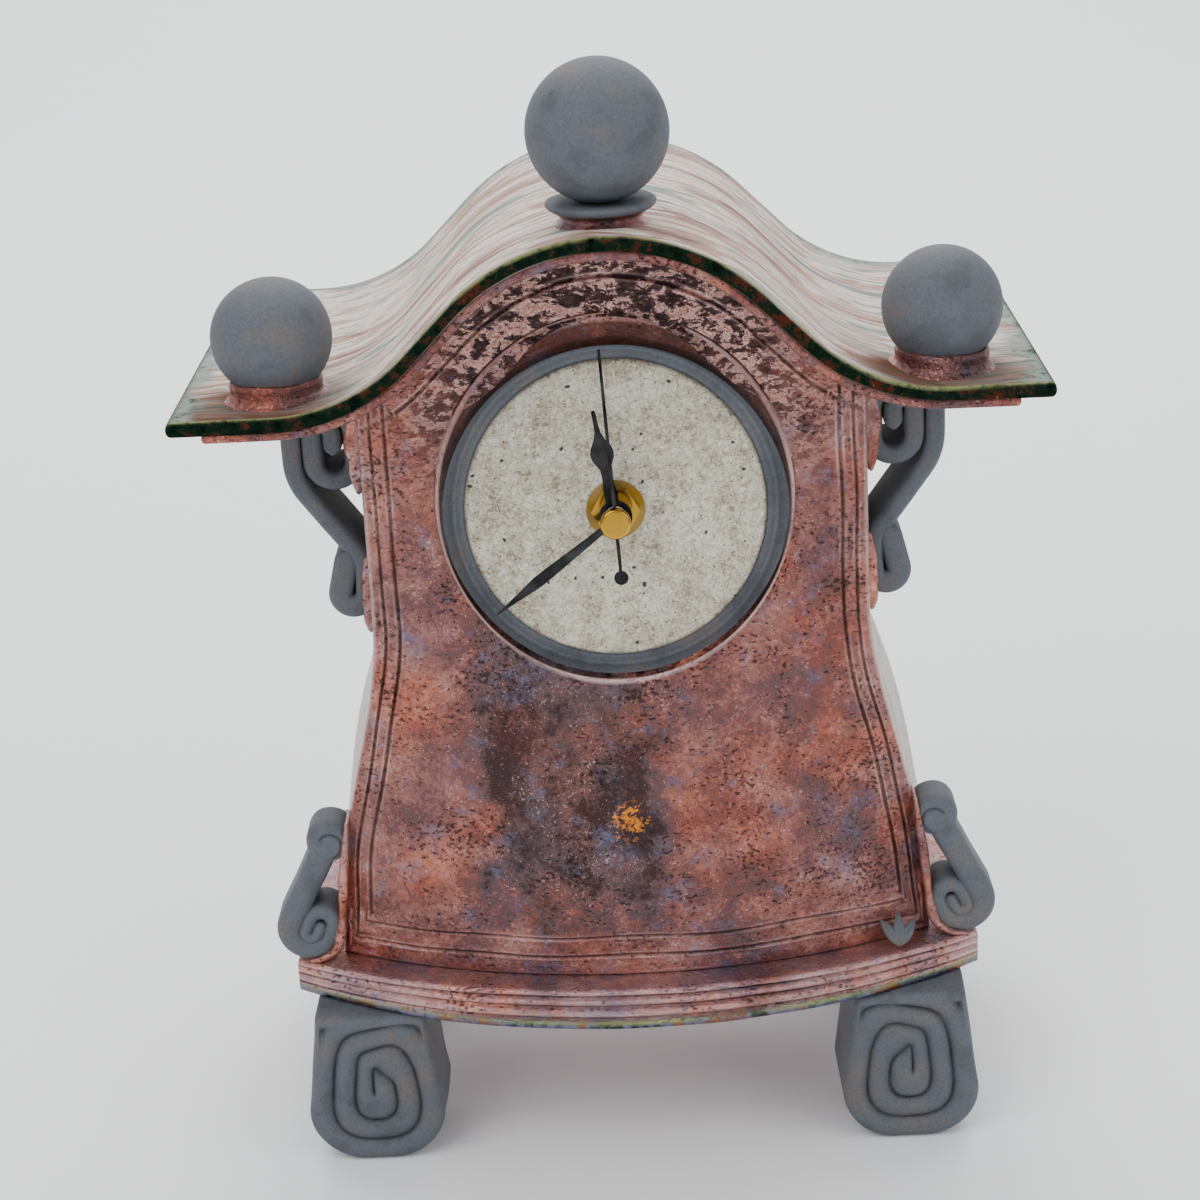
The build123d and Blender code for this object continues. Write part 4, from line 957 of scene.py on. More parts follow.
class CLOCK_OT_side_panels(Operator):
    """Makes the two flared side walls behind the front panel"""

    bl_idname = "clock.side_panels"
    bl_label = "Side panels"

    def execute(self, context):
        s = sizes_of(context)
        soft, steps = 1.0, 4
        drop = s.roof_thickness + s.lining_thickness
        top = float(ogee_height(np.array(s.waist_half_width - s.wall / 2), drop, s))
        heights = np.linspace(s.body_bottom, top, 120)
        corner = np.concatenate(quarter_arcs(steps))
        toward_x = np.repeat([1, -1, -1, 1], steps + 1)
        toward_y = np.repeat([1, 1, -1, -1], steps + 1)
        half_width = side_half_width(heights, s)
        front = panel_depth(half_width - s.wall, heights, s)[:, None] + s.wall
        depth = (front + s.back_y) / 2 + toward_y * ((s.back_y - front) / 2 - soft)
        depth = depth + soft * np.sin(corner)
        across = toward_x * (s.wall / 2 - soft) + soft * np.cos(corner) - s.wall / 2
        spread = side_half_width(heights, s, s.back_spread) - half_width
        share = (depth - s.panel_edge_y) / s.body_depth
        grid = as_points(half_width[:, None] + across + spread[:, None] * share, depth, heights[:, None])
        colours = context.scene.clock_colours
        material = pale_raku(colours, "pale_raku_sides", streak=(3.0, 5.0, 26.0), crackle=5.5, depth=0.22)
        make_pair("side_glazed", [shell(grid, caps=(0, -1))], material, node="side_panel")
        return {"FINISHED"}


class CLOCK_OT_base_slab(Operator):
    """Makes the base slab, whose bowed front edge is drawn out in fillets and grooves"""

    bl_idname = "clock.base_slab"
    bl_label = "Base slab"

    def outline(self, s):
        """The slab's plan, an arc in front and three straight sides, with its outward directions.

        The share of the moulding falls as a parabola from 1 at the front's middle to 0 at its ends.
        """
        front_count, side_count, back_count = 200, 40, 60
        bow = s.base_end_y - s.base_front_y
        radius = (s.base_half_width**2 + bow**2) / (2 * bow)
        swing = np.arcsin(s.base_half_width / radius)
        turn = np.linspace(-swing, swing, front_count)
        front = as_points(radius * np.sin(turn), s.base_front_y + radius * (1 - np.cos(turn)))
        right = as_points(s.base_half_width, np.linspace(s.base_end_y, s.base_back_y, side_count))
        rear = as_points(np.linspace(s.base_half_width, -s.base_half_width, back_count), s.base_back_y)
        plan = np.vstack([front, right[1:], rear[1:], (right * [-1, 1])[::-1][1:-1]])
        outward = np.vstack([plan[1:], plan[:1]]) - np.vstack([plan[-1:], plan[:-1]])
        outward = as_points(outward[:, 1], -outward[:, 0])
        outward /= np.linalg.norm(outward, axis=1)[:, None]
        moulded = np.zeros(len(plan))
        moulded[:front_count] = 1 - (front[:, 0] / s.base_half_width) ** 2
        return plan, outward, moulded

    def execute(self, context):
        s = sizes_of(context)
        plan, outward, moulded = self.outline(s)
        # Down from the top, then up from the bottom: height, setback of the moulding and setback all round
        upper = [
            (0.0, 6.4, 1.0), (0.0, 4.9, 0.6), (0.25, 4.3, 0.3), (0.7, 4.0, 0.1), (1.2, 4.05, 0.0),
            (1.5, 4.6, 0.0), (1.75, 4.5, 0.0), (1.95, 3.5, 0.0), (2.2, 2.8, 0.0), (2.7, 2.5, 0.0),
            (3.3, 2.6, 0.0), (3.6, 3.4, 0.0), (3.9, 3.5, 0.0), (4.15, 2.4, 0.0), (4.4, 1.5, 0.0),
            (4.9, 1.05, 0.0), (5.7, 1.05, 0.0), (6.1, 1.5, 0.0), (6.4, 2.3, 0.0), (6.7, 2.2, 0.0),
            (6.95, 1.0, 0.0), (7.2, 0.35, 0.0), (7.6, 0.05, 0.0),
        ]
        lower = [(1.1, 0.0, 0.0), (0.5, 0.2, 0.1), (0.15, 0.5, 0.4), (0.0, 1.1, 0.9), (0.0, 2.4, 2.2)]
        profile = np.array(
            [(s.body_bottom - fall, *setbacks) for fall, *setbacks in upper]
            + [(s.foot_height + rise, *setbacks) for rise, *setbacks in lower]
        )
        setback = profile[:, 1:2] * moulded[None] + profile[:, 2:3]
        rings = plan[None] - outward[None] * setback[..., None]
        grid = as_points(rings[..., 0], rings[..., 1], profile[:, :1])
        grid[..., 2] += 0.12 * ripple(grid, 26.0, 11)
        grid[..., :2] -= (0.22 * ripple(grid, 21.0, 12))[..., None] * outward[None]
        inner = np.array([0.0, -4.0])
        shares = np.array([0.3, 0.6, 0.9, 1.0])
        caps = []
        for ring in (grid[0], grid[-1]):
            flat = ring[None, :, :2] + (inner - ring[None, :, :2]) * shares[:, None, None]
            caps.append(as_points(flat[..., 0], flat[..., 1], ring[:, 2].mean()))
        grid = np.concatenate([caps[0][::-1], grid, caps[1]])
        # Along the profile: the fired rim from the lowest groove down, painted highlights on the fillets and
        # the rim's arris, and painted shade in the grooves
        rim, ridge, groove = np.zeros((3, len(profile)))
        rim[20:] = 1.0
        rim[20] = 0.6
        # Painted highlights on three fillets and on the rim's arris
        ridge[[4, 10, 16]], ridge[20:23] = 0.75, (0.7, 1.0, 0.6)
        # Painted shade in the grooves
        groove[[5, 6, 11, 12, 17, 18]] = 0.9
        marks = np.zeros((3, *grid.shape[:2]))
        marks[:, len(shares):len(shares) + len(profile)] = np.stack([rim, ridge, groove])[..., None]
        uneven = ripple(grid * [1, 1, 5], 34.0, 13)
        marks[1] *= np.clip(0.65 + 0.7 * uneven, 0, 1)
        marks[2] *= np.clip(0.65 - 0.6 * uneven, 0, 1)
        colours = context.scene.clock_colours
        material = copper_lustre(colours, "copper_lustre_base", pinkness=0.17, veiled=0.47)
        make_piece("base_slab_moulded", [shell(grid)], material, replaces=["base_slab"],
                   attributes=dict(zip(("rim", "ridge", "groove"), marks)))
        return {"FINISHED"}


class CLOCK_OT_roof(Operator):
    """Makes the ogee roof slab and the copper lining under it"""

    bl_idname = "clock.roof"
    bl_label = "Roof"

    def layer(self, s, drop, thickness, half_width, front, back, soft, waver):
        """A slab bent to the ogee: a round-edged rectangle carried along the curve, slightly uneven."""
        x = np.linspace(-half_width + soft, half_width - soft, 4000)
        path = even_steps(as_points(x, ogee_height(x, drop + thickness / 2, s)), 220)
        near = np.array([0.5, 1.0, 1.6, 2.4, 4.0])
        inner = np.linspace(front + 9, back - 9, 24)
        rows = np.concatenate([front + soft + near, inner, (back - soft - near)[::-1]])
        points, faces = carried_bar(path, thickness / 2, front, back, soft, square=True, rows=rows)
        points[:, 1] += waver * ripple(points * [1, 0, 1], 48.0, 21) * np.sign(points[:, 1])
        return points, faces

    def firing(self, s, points):
        """Where the kiln marked the slab and where light is painted on it, from each point's distances to its
        edges, with a wavering line.
        """
        x, y = np.abs(points[:, 0]), points[:, 1]
        above = points[:, 2] - ogee_height(points[:, 0], s.roof_thickness / 2, s)
        from_front, from_back, from_end = y - s.roof_front_y, s.roof_back_y - y, s.roof_half_width - x
        near = np.minimum(np.minimum(from_front, from_back), from_end)
        waver = ripple(points, 12.0, 22)
        back_band, end_band, sway, fade, most = 9.0, 7.5, 4.0, 5.0, 0.85
        behind = np.clip((back_band + sway * waver - from_back) / fade, 0, most)
        beside = np.clip((end_band + sway * waver - from_end) / fade, 0, most)
        wing_start, wing_run, corner_y, corner_run = 50.0, 24.0, -28.0, 26.0
        wing = soft_step((x - wing_start) / wing_run)
        return {
            "rim": np.clip(1.5 - near, 0, 1) * np.clip(2.6 - above, 0, 1),
            # Painted highlight: a thin line on top just behind the front edge
            "ridge": 0.9 * np.exp(-(((from_front - 0.7) / 0.4) ** 2)) * (above > 1.0),
            # Painted dark reflection on the wings towards the front
            "blush": 2.0 * wing * soft_step((corner_y + 6 * waver - y) / corner_run),
            "tarnish": np.maximum(behind, beside),
        }

    def execute(self, context):
        s = sizes_of(context)
        colours = context.scene.clock_colours
        slab = self.layer(s, 0.0, s.roof_thickness, s.roof_half_width, s.roof_front_y, s.roof_back_y,
                          1.2, 0.35)
        make_piece("roof_slab_glazed", [slab], pale_raku(colours, "pale_raku_roof"), replaces=["roof_slab"],
                   attributes=self.firing(s, slab[0]))
        lining = self.layer(s, s.roof_thickness, s.lining_thickness, s.roof_half_width - s.lining_inset,
                            s.roof_front_y + s.lining_thickness, s.roof_back_y - s.lining_inset, 0.9, 0.3)
        copper = copper_lustre(colours, "copper_lustre_lining", pinkness=0.02)
        make_piece("roof_lining_glazed", [lining], copper, replaces=["roof_lining"])
        return {"FINISHED"}


class CLOCK_OT_finials(Operator):
    """Makes the three hand-rolled balls and the glazed clay that holds them"""

    bl_idname = "clock.finials"
    bl_label = "Finials"

    def ball(self, middle, radius, seed):
        """A hand-rolled sphere: latitude and longitude, pushed in and out by slow waves."""
        polar = np.linspace(0, pi, 73)[:, None]
        turn = np.linspace(0, 2 * pi, 144, endpoint=False)[None]
        across = np.sin(polar)
        unit = as_points(across * np.cos(turn), across * np.sin(turn), np.cos(polar))
        uneven = radius * (1 + 0.011 * ripple(unit * radius, radius * 1.9, seed))
        return shell(np.array(middle) + unit * uneven[..., None])

    def seat(self, s, middle_x, profile, seed, lumps):
        """A ring of clay under a ball: a profile of (radius, height over the roof), turned round its axis.

        Low points follow the ogee, high points lie level; slow waves make it uneven.
        """
        turn = np.linspace(0, 2 * pi, 140, endpoint=False)
        radius, rise = np.array(profile, float).T[..., None]
        circle = as_points(np.cos(turn), np.sin(turn), 0)
        wave = 1 + lumps * ripple(circle * 20, 24.0, seed)
        x = middle_x + radius * np.cos(turn) * wave
        y = s.ball_y + radius * np.sin(turn) * wave
        level = s.roof_top if middle_x == 0 else s.wing_top
        follow = np.clip(1 - rise / 3.0, 0, 1)
        z = level + rise + (ogee_height(x, 0.0, s) - level) * follow
        uneven = 9 * lumps * ripple(as_points(x, y, 0), 11.0, seed + 40)
        z = z + uneven * np.clip(rise / 4.0, 0, 1)
        return shell(as_points(x, y, z))

    def execute(self, context):
        s = sizes_of(context)
        colours = context.scene.clock_colours
        clay = smoked_stoneware(colours)
        copper = copper_lustre(colours, "copper_lustre_collars", pinkness=-0.02)
        apex_z, side_z = s.roof_top + s.apex_ball_rise, s.wing_top + s.side_ball_rise
        for name, x, z, radius, seed in (
            ("apex_ball", 0.0, apex_z, s.apex_ball_radius, 31),
            ("left_ball", -s.valley_x, side_z, s.side_ball_radius, 32),
            ("right_ball", s.valley_x, side_z, s.side_ball_radius, 33),
        ):
            skin = self.ball((x, s.ball_y, z), radius, seed)
            make_piece(name + "_rolled", [skin], clay, replaces=[name])

        # A glazed neck that flares into a bare clay dish
        bare_rise = 3.0
        foot, rim = s.pedestal_foot_radius, s.pedestal_rim_radius
        pedestal = self.seat(s, 0.0, [
            (0.0, -0.8), (foot - 1, -0.8), (foot + 1.6, -0.3), (foot + 0.9, 0.25), (foot + 0.2, 0.8),
            (foot, 1.5), (foot + 0.5, 2.1), (foot + 1.6, 2.6), (rim - 0.3, 3.1), (rim + 0.35, 3.7),
            (rim + 0.5, 4.3), (rim + 0.2, 4.9), (rim - 0.7, 5.2), (rim - 3.0, 5.1), (foot - 2.0, 4.8),
            (0.0, 4.6),
        ], 34, 0.02)
        piece = make_piece("apex_pedestal_glazed", [pedestal], copper, replaces=["apex_pedestal"])
        piece.data.materials.append(clay)
        middles = np.empty(len(piece.data.polygons) * 3)
        piece.data.polygons.foreach_get("center", middles)
        bare = middles.reshape(-1, 3)[:, 2] > (s.roof_top + bare_rise) * MM
        piece.data.polygons.foreach_set("material_index", bare.astype(np.int32))

        wide, tall = s.collar_radius, s.collar_rise
        for side, x, seed in (("left", -s.valley_x, 35), ("right", s.valley_x, 36)):
            ring = self.seat(s, x, [
                (0.0, -0.6), (wide - 2, -0.6), (wide + 1.4, -0.25), (wide + 0.6, 0.3), (wide - 0.3, 1.0),
                (wide - 0.8, 2.2), (wide - 0.6, 3.6), (wide - 0.5, tall - 0.7), (wide - 0.9, tall),
                (wide - 1.8, tall - 0.1), (wide - 4.0, tall - 2.5), (0.0, tall - 3.0),
            ], seed, 0.04)
            node = side + "_ball_collar"
            make_piece(side + "_collar_glazed", [ring], copper, replaces=[node])
        return {"FINISHED"}


class CLOCK_OT_upper_brackets(Operator):
    """Makes the S-shaped scroll brackets under the eaves"""

    bl_idname = "clock.upper_brackets"
    bl_label = "Upper brackets"

    def execute(self, context):
        s = sizes_of(context)
        count, lobe_start, lobe_run = 420, 345, 30
        pitch, lean_degrees = s.scroll_pitch, 36
        lean = radians(lean_degrees)
        strip_half, eave_press, eave_sink, spiral_drop = 2.2, 0.8, 0.6, 16.0
        stem_bend, stem_end = 16.0, 10.0
        wall_x = s.waist_half_width + strip_half
        turn_z, arch_z = s.eave - spiral_drop, s.eave + eave_press - strip_half - 1.5 * pitch
        tip_z, roll_z = turn_z + 4.2, arch_z + 0.4
        reach = 3 * pitch - (stem_bend + stem_end) * (1 - cos(lean))
        curl = [
            (roll_z - tip_z, 0), (pitch / 2, -180), (roll_z - turn_z, 0), (pitch, -180), (arch_z - turn_z, 0),
            (1.5 * pitch, -180),
        ]
        stem = [
            (arch_z - turn_z, 0), (stem_bend, -lean_degrees), (reach / sin(lean), 0),
            (stem_end, lean_degrees),
        ]
        leaf = [(6.0, 0), (3.3, 194), (8.5, 0)]
        path = even_steps(turn_path((wall_x + pitch, tip_z), 90, curl + stem + leaf), count)
        lobe = soft_step((np.arange(count) - lobe_start) / lobe_run)
        width = s.scroll_width / 2 + 0.7 * lobe + 0.12 * ripple(upright(path), 16.0, 41)
        points, faces = carried_bar(path, width, s.scroll_front_y, s.scroll_front_y + s.scroll_depth, 1.7)
        points[:, 2] = np.minimum(points[:, 2], s.eave + eave_sink)
        clay = smoked_stoneware(context.scene.clock_colours)
        make_pair("upper_scroll", [(points, faces)], clay, node="upper_bracket")
        return {"FINISHED"}


class CLOCK_OT_lower_brackets(Operator):
    """Makes the hooked brackets that stand on the base slab"""

    bl_idname = "clock.lower_brackets"
    bl_label = "Lower brackets"

    def roll(self, middle, radius, front, back, seed):
        """The rolled-up top of the strip: two round-edged discs, the front one grooved, and a side."""
        soft, turns, lead = 3.6, 1.7, 0.8
        groove_depth, groove_turn, groove_half = 0.9, 1.15, 0.1
        turn = np.linspace(0, 2 * pi, 120, endpoint=False)
        reach = np.linspace(0, 1, 40)[:, None]
        near_edge = np.clip((reach * radius - radius + soft) / soft, 0, 1)
        round_off = soft * (1 - np.sqrt(1 - near_edge**2))
        wound = (1 - reach) * turns + turn[None] / (2 * pi)
        groove = groove_depth * np.exp(-(((wound - groove_turn) / groove_half) ** 2)) * soft_step(reach * 3)
        groove = groove * soft_step((turn[None] - 0.3) / 0.6) * soft_step((5.4 - turn[None]) / 0.8)
        circle = as_points(np.cos(turn), np.sin(turn), 0)
        bulge = radius * (1.1 + 0.035 * ripple(circle * 6, 9.0, seed))
        x, z = middle[0] + reach * bulge * np.cos(turn), middle[1] + reach * bulge * np.sin(turn)
        face = as_points(x, front - lead + round_off + groove, z)
        rear = as_points(x, back - round_off, z)[::-1]
        side = face[-1:] + (rear[:1] - face[-1:]) * np.linspace(0, 1, 8)[1:-1, None, None]
        return shell(np.concatenate([face, side, rear]))

    def execute(self, context):
        s = sizes_of(context)
        coil_seat, knob_seat = 0.2, 0.3
        coil_z, knob_z = s.body_bottom + s.coil_radius, s.body_bottom + s.knob_rise
        coil = np.array([side_half_width(coil_z, s) + s.coil_radius - coil_seat, coil_z])
        knob = np.array([side_half_width(knob_z, s) + s.knob_radius - knob_seat, knob_z])
        half = s.hook_width / 2
        big = s.coil_radius - half
        run = coil - knob
        span = np.linalg.norm(run)
        heading = np.degrees(np.arctan2(run[1], run[0]) + np.arcsin(big / span))
        turns = [
            (sqrt(span**2 - big**2), 0), (big, -188), (2.6, 0), (big * 0.6, -176), (3.4, 0),
            (big * 0.3, -176), (2.2, 0),
        ]
        path = even_steps(turn_path(knob, heading, turns), 330)
        along = np.linspace(0, 1, len(path))
        taper = 1 - 0.42 * soft_step((along - 0.42) / 0.5)
        width = half * taper + 0.13 * ripple(upright(path), 15.0, 43)
        front, back = s.hook_front_y, s.hook_front_y + s.hook_depth
        skins = [carried_bar(path, width, front, back, 2.6), self.roll(knob, s.knob_radius, front, back, 45)]
        clay = smoked_stoneware(context.scene.clock_colours)
        make_pair("lower_scroll", skins, clay, node="lower_bracket")
        return {"FINISHED"}


class CLOCK_OT_feet(Operator):
    """Makes the four feet, each a strip of clay rolled up into a pear"""

    bl_idname = "clock.feet"
    bl_label = "Feet"

    def loop_depth(self, s, x, z, slant):
        """How far inside the foot each point lies, by the rounded loop through it, found by halving.

        A loop is a superellipse as wide as the tapering foot and as tall, both less its depth, and squarer
        near the top.
        """
        half_height, least = s.foot_height / 2, 0.3
        half_width = s.foot_wide_half_width - (z - s.foot_wide_height) * tan(slant)
        exponent = 2.7 + 1.6 * soft_step((z - 20.0) / 14.0)
        low, high = np.zeros(x.shape), half_width - least
        for _ in range(30):
            inside = (low + high) / 2
            loop = (np.abs(x) / (half_width - inside)) ** exponent
            loop = loop + (np.abs(z - half_height) / np.maximum(half_height - inside, least)) ** exponent
            low, high = np.where(loop < 1, inside, low), np.where(loop < 1, high, inside)
        return inside

    def foot(self, s, middle_y, seed):
        """A rolled strip seen on its end.

        A pear outline gives the reach along each angle. Tall rounded loops nest inside it, and the depth of
        the end face is a round-topped band that moves one loop inwards each turn, so that its creases draw a
        spiral.
        """
        soft, crease_depth, farthest = 2.8, 2.6, 60.0
        middle_z, least = 18.0, 0.02
        strip_start, level_turn, inward_turn = radians(56), radians(272), radians(88)
        slant = np.arctan2(s.foot_wide_half_width - s.foot_top_half_width, s.foot_height - s.foot_wide_height)
        bend = s.foot_wide_height / (1 + sin(slant))
        flat = s.foot_wide_half_width - bend * cos(slant)

        def within(x, z):
            upper = s.foot_wide_half_width - (z - s.foot_wide_height) * tan(slant)
            lower = flat + np.sqrt(np.maximum(bend**2 - (z - bend) ** 2, 0))
            half_width = np.where(z > s.foot_wide_height, upper, lower)
            return (np.abs(x) < half_width) & (z > 0) & (z < s.foot_height)

        angles = np.linspace(0, 2 * pi, 300, endpoint=False)
        outer = ray_reach(within, (0.0, middle_z), angles, farthest)
        radius = np.linspace(0, 1, 110)[:, None] * (outer - least)[None]
        x, z = radius * np.cos(angles), middle_z + radius * np.sin(angles)
        swing = (strip_start - angles) % (2 * pi)
        step = soft_step((swing - level_turn) / inward_turn)
        winding = np.maximum(self.loop_depth(s, x, z, slant), 0.2) / s.coil_band - step[None]
        across = np.abs(2 * (winding - np.floor(winding)) - 1)
        away = outer[None] - radius
        seen = soft_step((radius - 1.0) / 2.2) * soft_step((away - 1.8) / 2.2)
        near_edge = np.clip(away / soft, 0, 1)
        sunk = crease_depth * (1 - np.sqrt(1 - 0.97 * across**1.7)) * seen
        sunk = np.maximum(sunk, soft * (1 - np.sqrt(1 - (1 - near_edge) ** 2)))
        # Painted shade in the valleys between the coils, deepest at the crease and uneven in strength
        patchy = 0.75 + 0.35 * ripple(as_points(x, z, 0), 9.0, seed + 8)
        dark = (0.42 * across**4 + 0.28 * soft_step((across - 0.8) / 0.2)) * seen * np.clip(patchy, 0, 1.3)
        front = as_points(x, middle_y - s.foot_depth / 2 + sunk, z)
        rear = as_points(x, middle_y + s.foot_depth / 2 - sunk, z)[::-1]
        side = front[-1:] + (rear[:1] - front[-1:]) * np.linspace(0, 1, 10)[1:-1, None, None]
        grid = np.concatenate([front, side, rear])
        swell = 0.35 * ripple(grid, 19.0, seed)
        grid[..., 0] += swell * np.cos(angles)
        grid[..., 2] = np.clip(grid[..., 2] + swell * np.sin(angles), 0, s.foot_height)
        crease = np.concatenate([dark, np.zeros(side.shape[:2]), dark[::-1]])
        return grid, crease

    def execute(self, context):
        s = sizes_of(context)
        clay = smoked_stoneware(context.scene.clock_colours)
        for end, middle_y, seed in (("front", s.front_foot_y, 51), ("rear", s.rear_foot_y, 53)):
            for side, sign in (("right", 1), ("left", -1)):
                grid, crease = self.foot(s, middle_y, seed + (sign < 0))
                skin = shell(grid * [sign, 1, 1] + [sign * s.foot_x, 0, 0])
                name = f"{side}_{end}_foot"
                make_piece(name + "_rolled", [skin], clay, replaces=[name],
                           attributes={"crease": crease})
        return {"FINISHED"}


class CLOCK_OT_leaf_sprig(Operator):
    """Makes the small clay leaves on the ledge"""

    bl_idname = "clock.leaf_sprig"
    bl_label = "Leaf sprig"

    def leaf(self, root, tip, width, thickness, face):
        """A pointed lens: an ellipse that narrows to both ends along a slightly bent midrib."""
        root, tip, face = (np.array(v, float) for v in (root, tip, face))
        along = np.linspace(0, 1, 40)[:, None]
        turn = np.linspace(0, 2 * pi, 28, endpoint=False)[None]
        line = tip - root
        side = np.cross(line, face)
        side /= np.linalg.norm(side)
        out = np.cross(side, line)
        out /= np.linalg.norm(out)
        swell = np.sin(pi * along**0.85) ** 0.9
        groove = 0.45 * np.exp(-((np.cos(turn) / 0.16) ** 2)) * (np.sin(turn) > 0)
        rib = root + line * along[..., None] + out * (np.sin(pi * along) * 0.9)[..., None]
        across = (width * swell * np.cos(turn))[..., None] * side
        thick = (thickness * swell * (np.sin(turn) - groove))[..., None] * out
        return shell(rib + across + thick)

    def execute(self, context):
        low, high = (np.array(corner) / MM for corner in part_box("leaf_sprig"))
        middle = (low + high) / 2
        root = np.array([middle[0], low[1] + 1.6, low[2] + 0.9])
        face = np.array([0.0, -0.75, 0.66])
        width, thickness = 1.55, 0.9
        tips = [
            (middle[0] - 4.6, high[1] - 1.6, high[2] - 2.0), (middle[0] + 0.3, high[1] - 0.9, high[2] - 0.2),
            (middle[0] + 4.7, high[1] - 1.6, high[2] - 2.2),
        ]
        skins = [self.leaf(root, tip, width, thickness, face) for tip in tips]
        clay = smoked_stoneware(context.scene.clock_colours)
        make_piece("leaf_sprig_modelled", skins, clay, replaces=["leaf_sprig"])
        return {"FINISHED"}


class CLOCK_OT_glaze_seams(Operator):
    """Makes the thick copper-glazed slip where the brackets join the body"""

    bl_idname = "clock.glaze_seams"
    bl_label = "Glaze seams"

    def smear(self, points, half, front, back, seed):
        """A lumpy bar along a line of points: the line is smoothed, its width waves and its ends taper."""
        count, blur = 90, 10
        rough = even_steps(np.array(points, float), count)
        kernel = np.hanning(2 * blur + 1)
        kernel = kernel / kernel.sum()
        padded = np.pad(rough, ((blur, blur), (0, 0)), mode="edge")
        path = as_points(*(np.convolve(column, kernel, "valid") for column in padded.T))
        wander = ripple(upright(path), 7.0, seed)
        ends = np.sin(pi * np.linspace(0.07, 0.93, len(path))) ** 0.4
        bar, faces = carried_bar(path, half * ends * (1 + 0.3 * wander), front, back, 1.0)
        bar[:, 1] -= 0.5 * ripple(bar, 5.0, seed + 20) * (bar[:, 1] < (front + back) / 2)
        return bar, faces

    def execute(self, context):
        s = sizes_of(context)

        def beside(level, *stops):
            """Points given as (height over a level, distance from the body's side)."""
            return [(float(side_half_width(level + rise, s)) + away, level + rise) for rise, away in stops]

        low, eave = s.body_bottom, s.eave
        upper, lower = s.scroll_front_y, s.hook_front_y
        scroll_top = beside(eave, (-24.5, 1.6), (-12, 2.0), (-0.8, 1.7))
        scroll_leaf = beside(eave, (-62.0, 1.2), (-52, 1.6), (-42.0, 0.8))
        hook = beside(low, (40.5, 0.6), (33, 0.4), (24, 0.5), (17, 0.2), (10, 0.5), (4, 1.2), (1.2, 4.0),
                      (0.5, 8.0))
        hook.append((s.base_half_width - 3.0, low + 0.4))
        hook_rear = beside(low, (38, -1.6), (22, -1.7), (3, -1.6))
        skins = [
            self.smear(scroll_top, 2.1, upper - 0.7, upper + 13, 61),
            self.smear(scroll_leaf, 1.9, upper - 0.6, upper + 12, 62),
            self.smear(hook, 1.35, lower - 0.5, lower + 10, 63),
            self.smear(hook_rear, 1.1, lower + 3.6, lower + 12, 64),
        ]
        copper = copper_lustre(context.scene.clock_colours, "copper_lustre_seams", pinkness=0.13)
        make_pair("glaze_seams", skins, copper)
        return {"FINISHED"}


class CLOCK_OT_dial(Operator):
    """Makes the white dial face and finishes the grey plate behind it"""

    bl_idname = "clock.dial"
    bl_label = "Dial"

    def execute(self, context):
        s = sizes_of(context)
        colours = context.scene.clock_colours
        soft = s.face_thickness * 0.8
        swing = np.linspace(0, pi / 2, 7)
        edge = [(s.face_radius - soft + soft * sin(t), -soft + soft * cos(t)) for t in swing]
        spread = [(r, 0.0) for r in np.linspace(s.hub_hole_radius, s.face_radius - soft, 40)[:-1]]
        back = [(s.face_radius, -s.face_thickness), (s.hub_hole_radius, -s.face_thickness)]
        grid = turned_ring(spread + edge + back, 200)
        grid[..., 2] += 0.07 * ripple(grid, 30.0, 71) * (grid[..., 2] > -s.face_thickness + 0.01)
        face = shell(on_dial(grid, s), close_rows=True)
        make_piece("dial_face_glazed", [face], white_crackle(colours), replaces=["dial_face"])
        hub = tuple(float(v) * MM for v in on_dial(np.zeros(3), s))
        dress(["dial_plate"], smoked_stoneware(colours, "smoked_stoneware_dial", hub=hub))
        return {"FINISHED"}


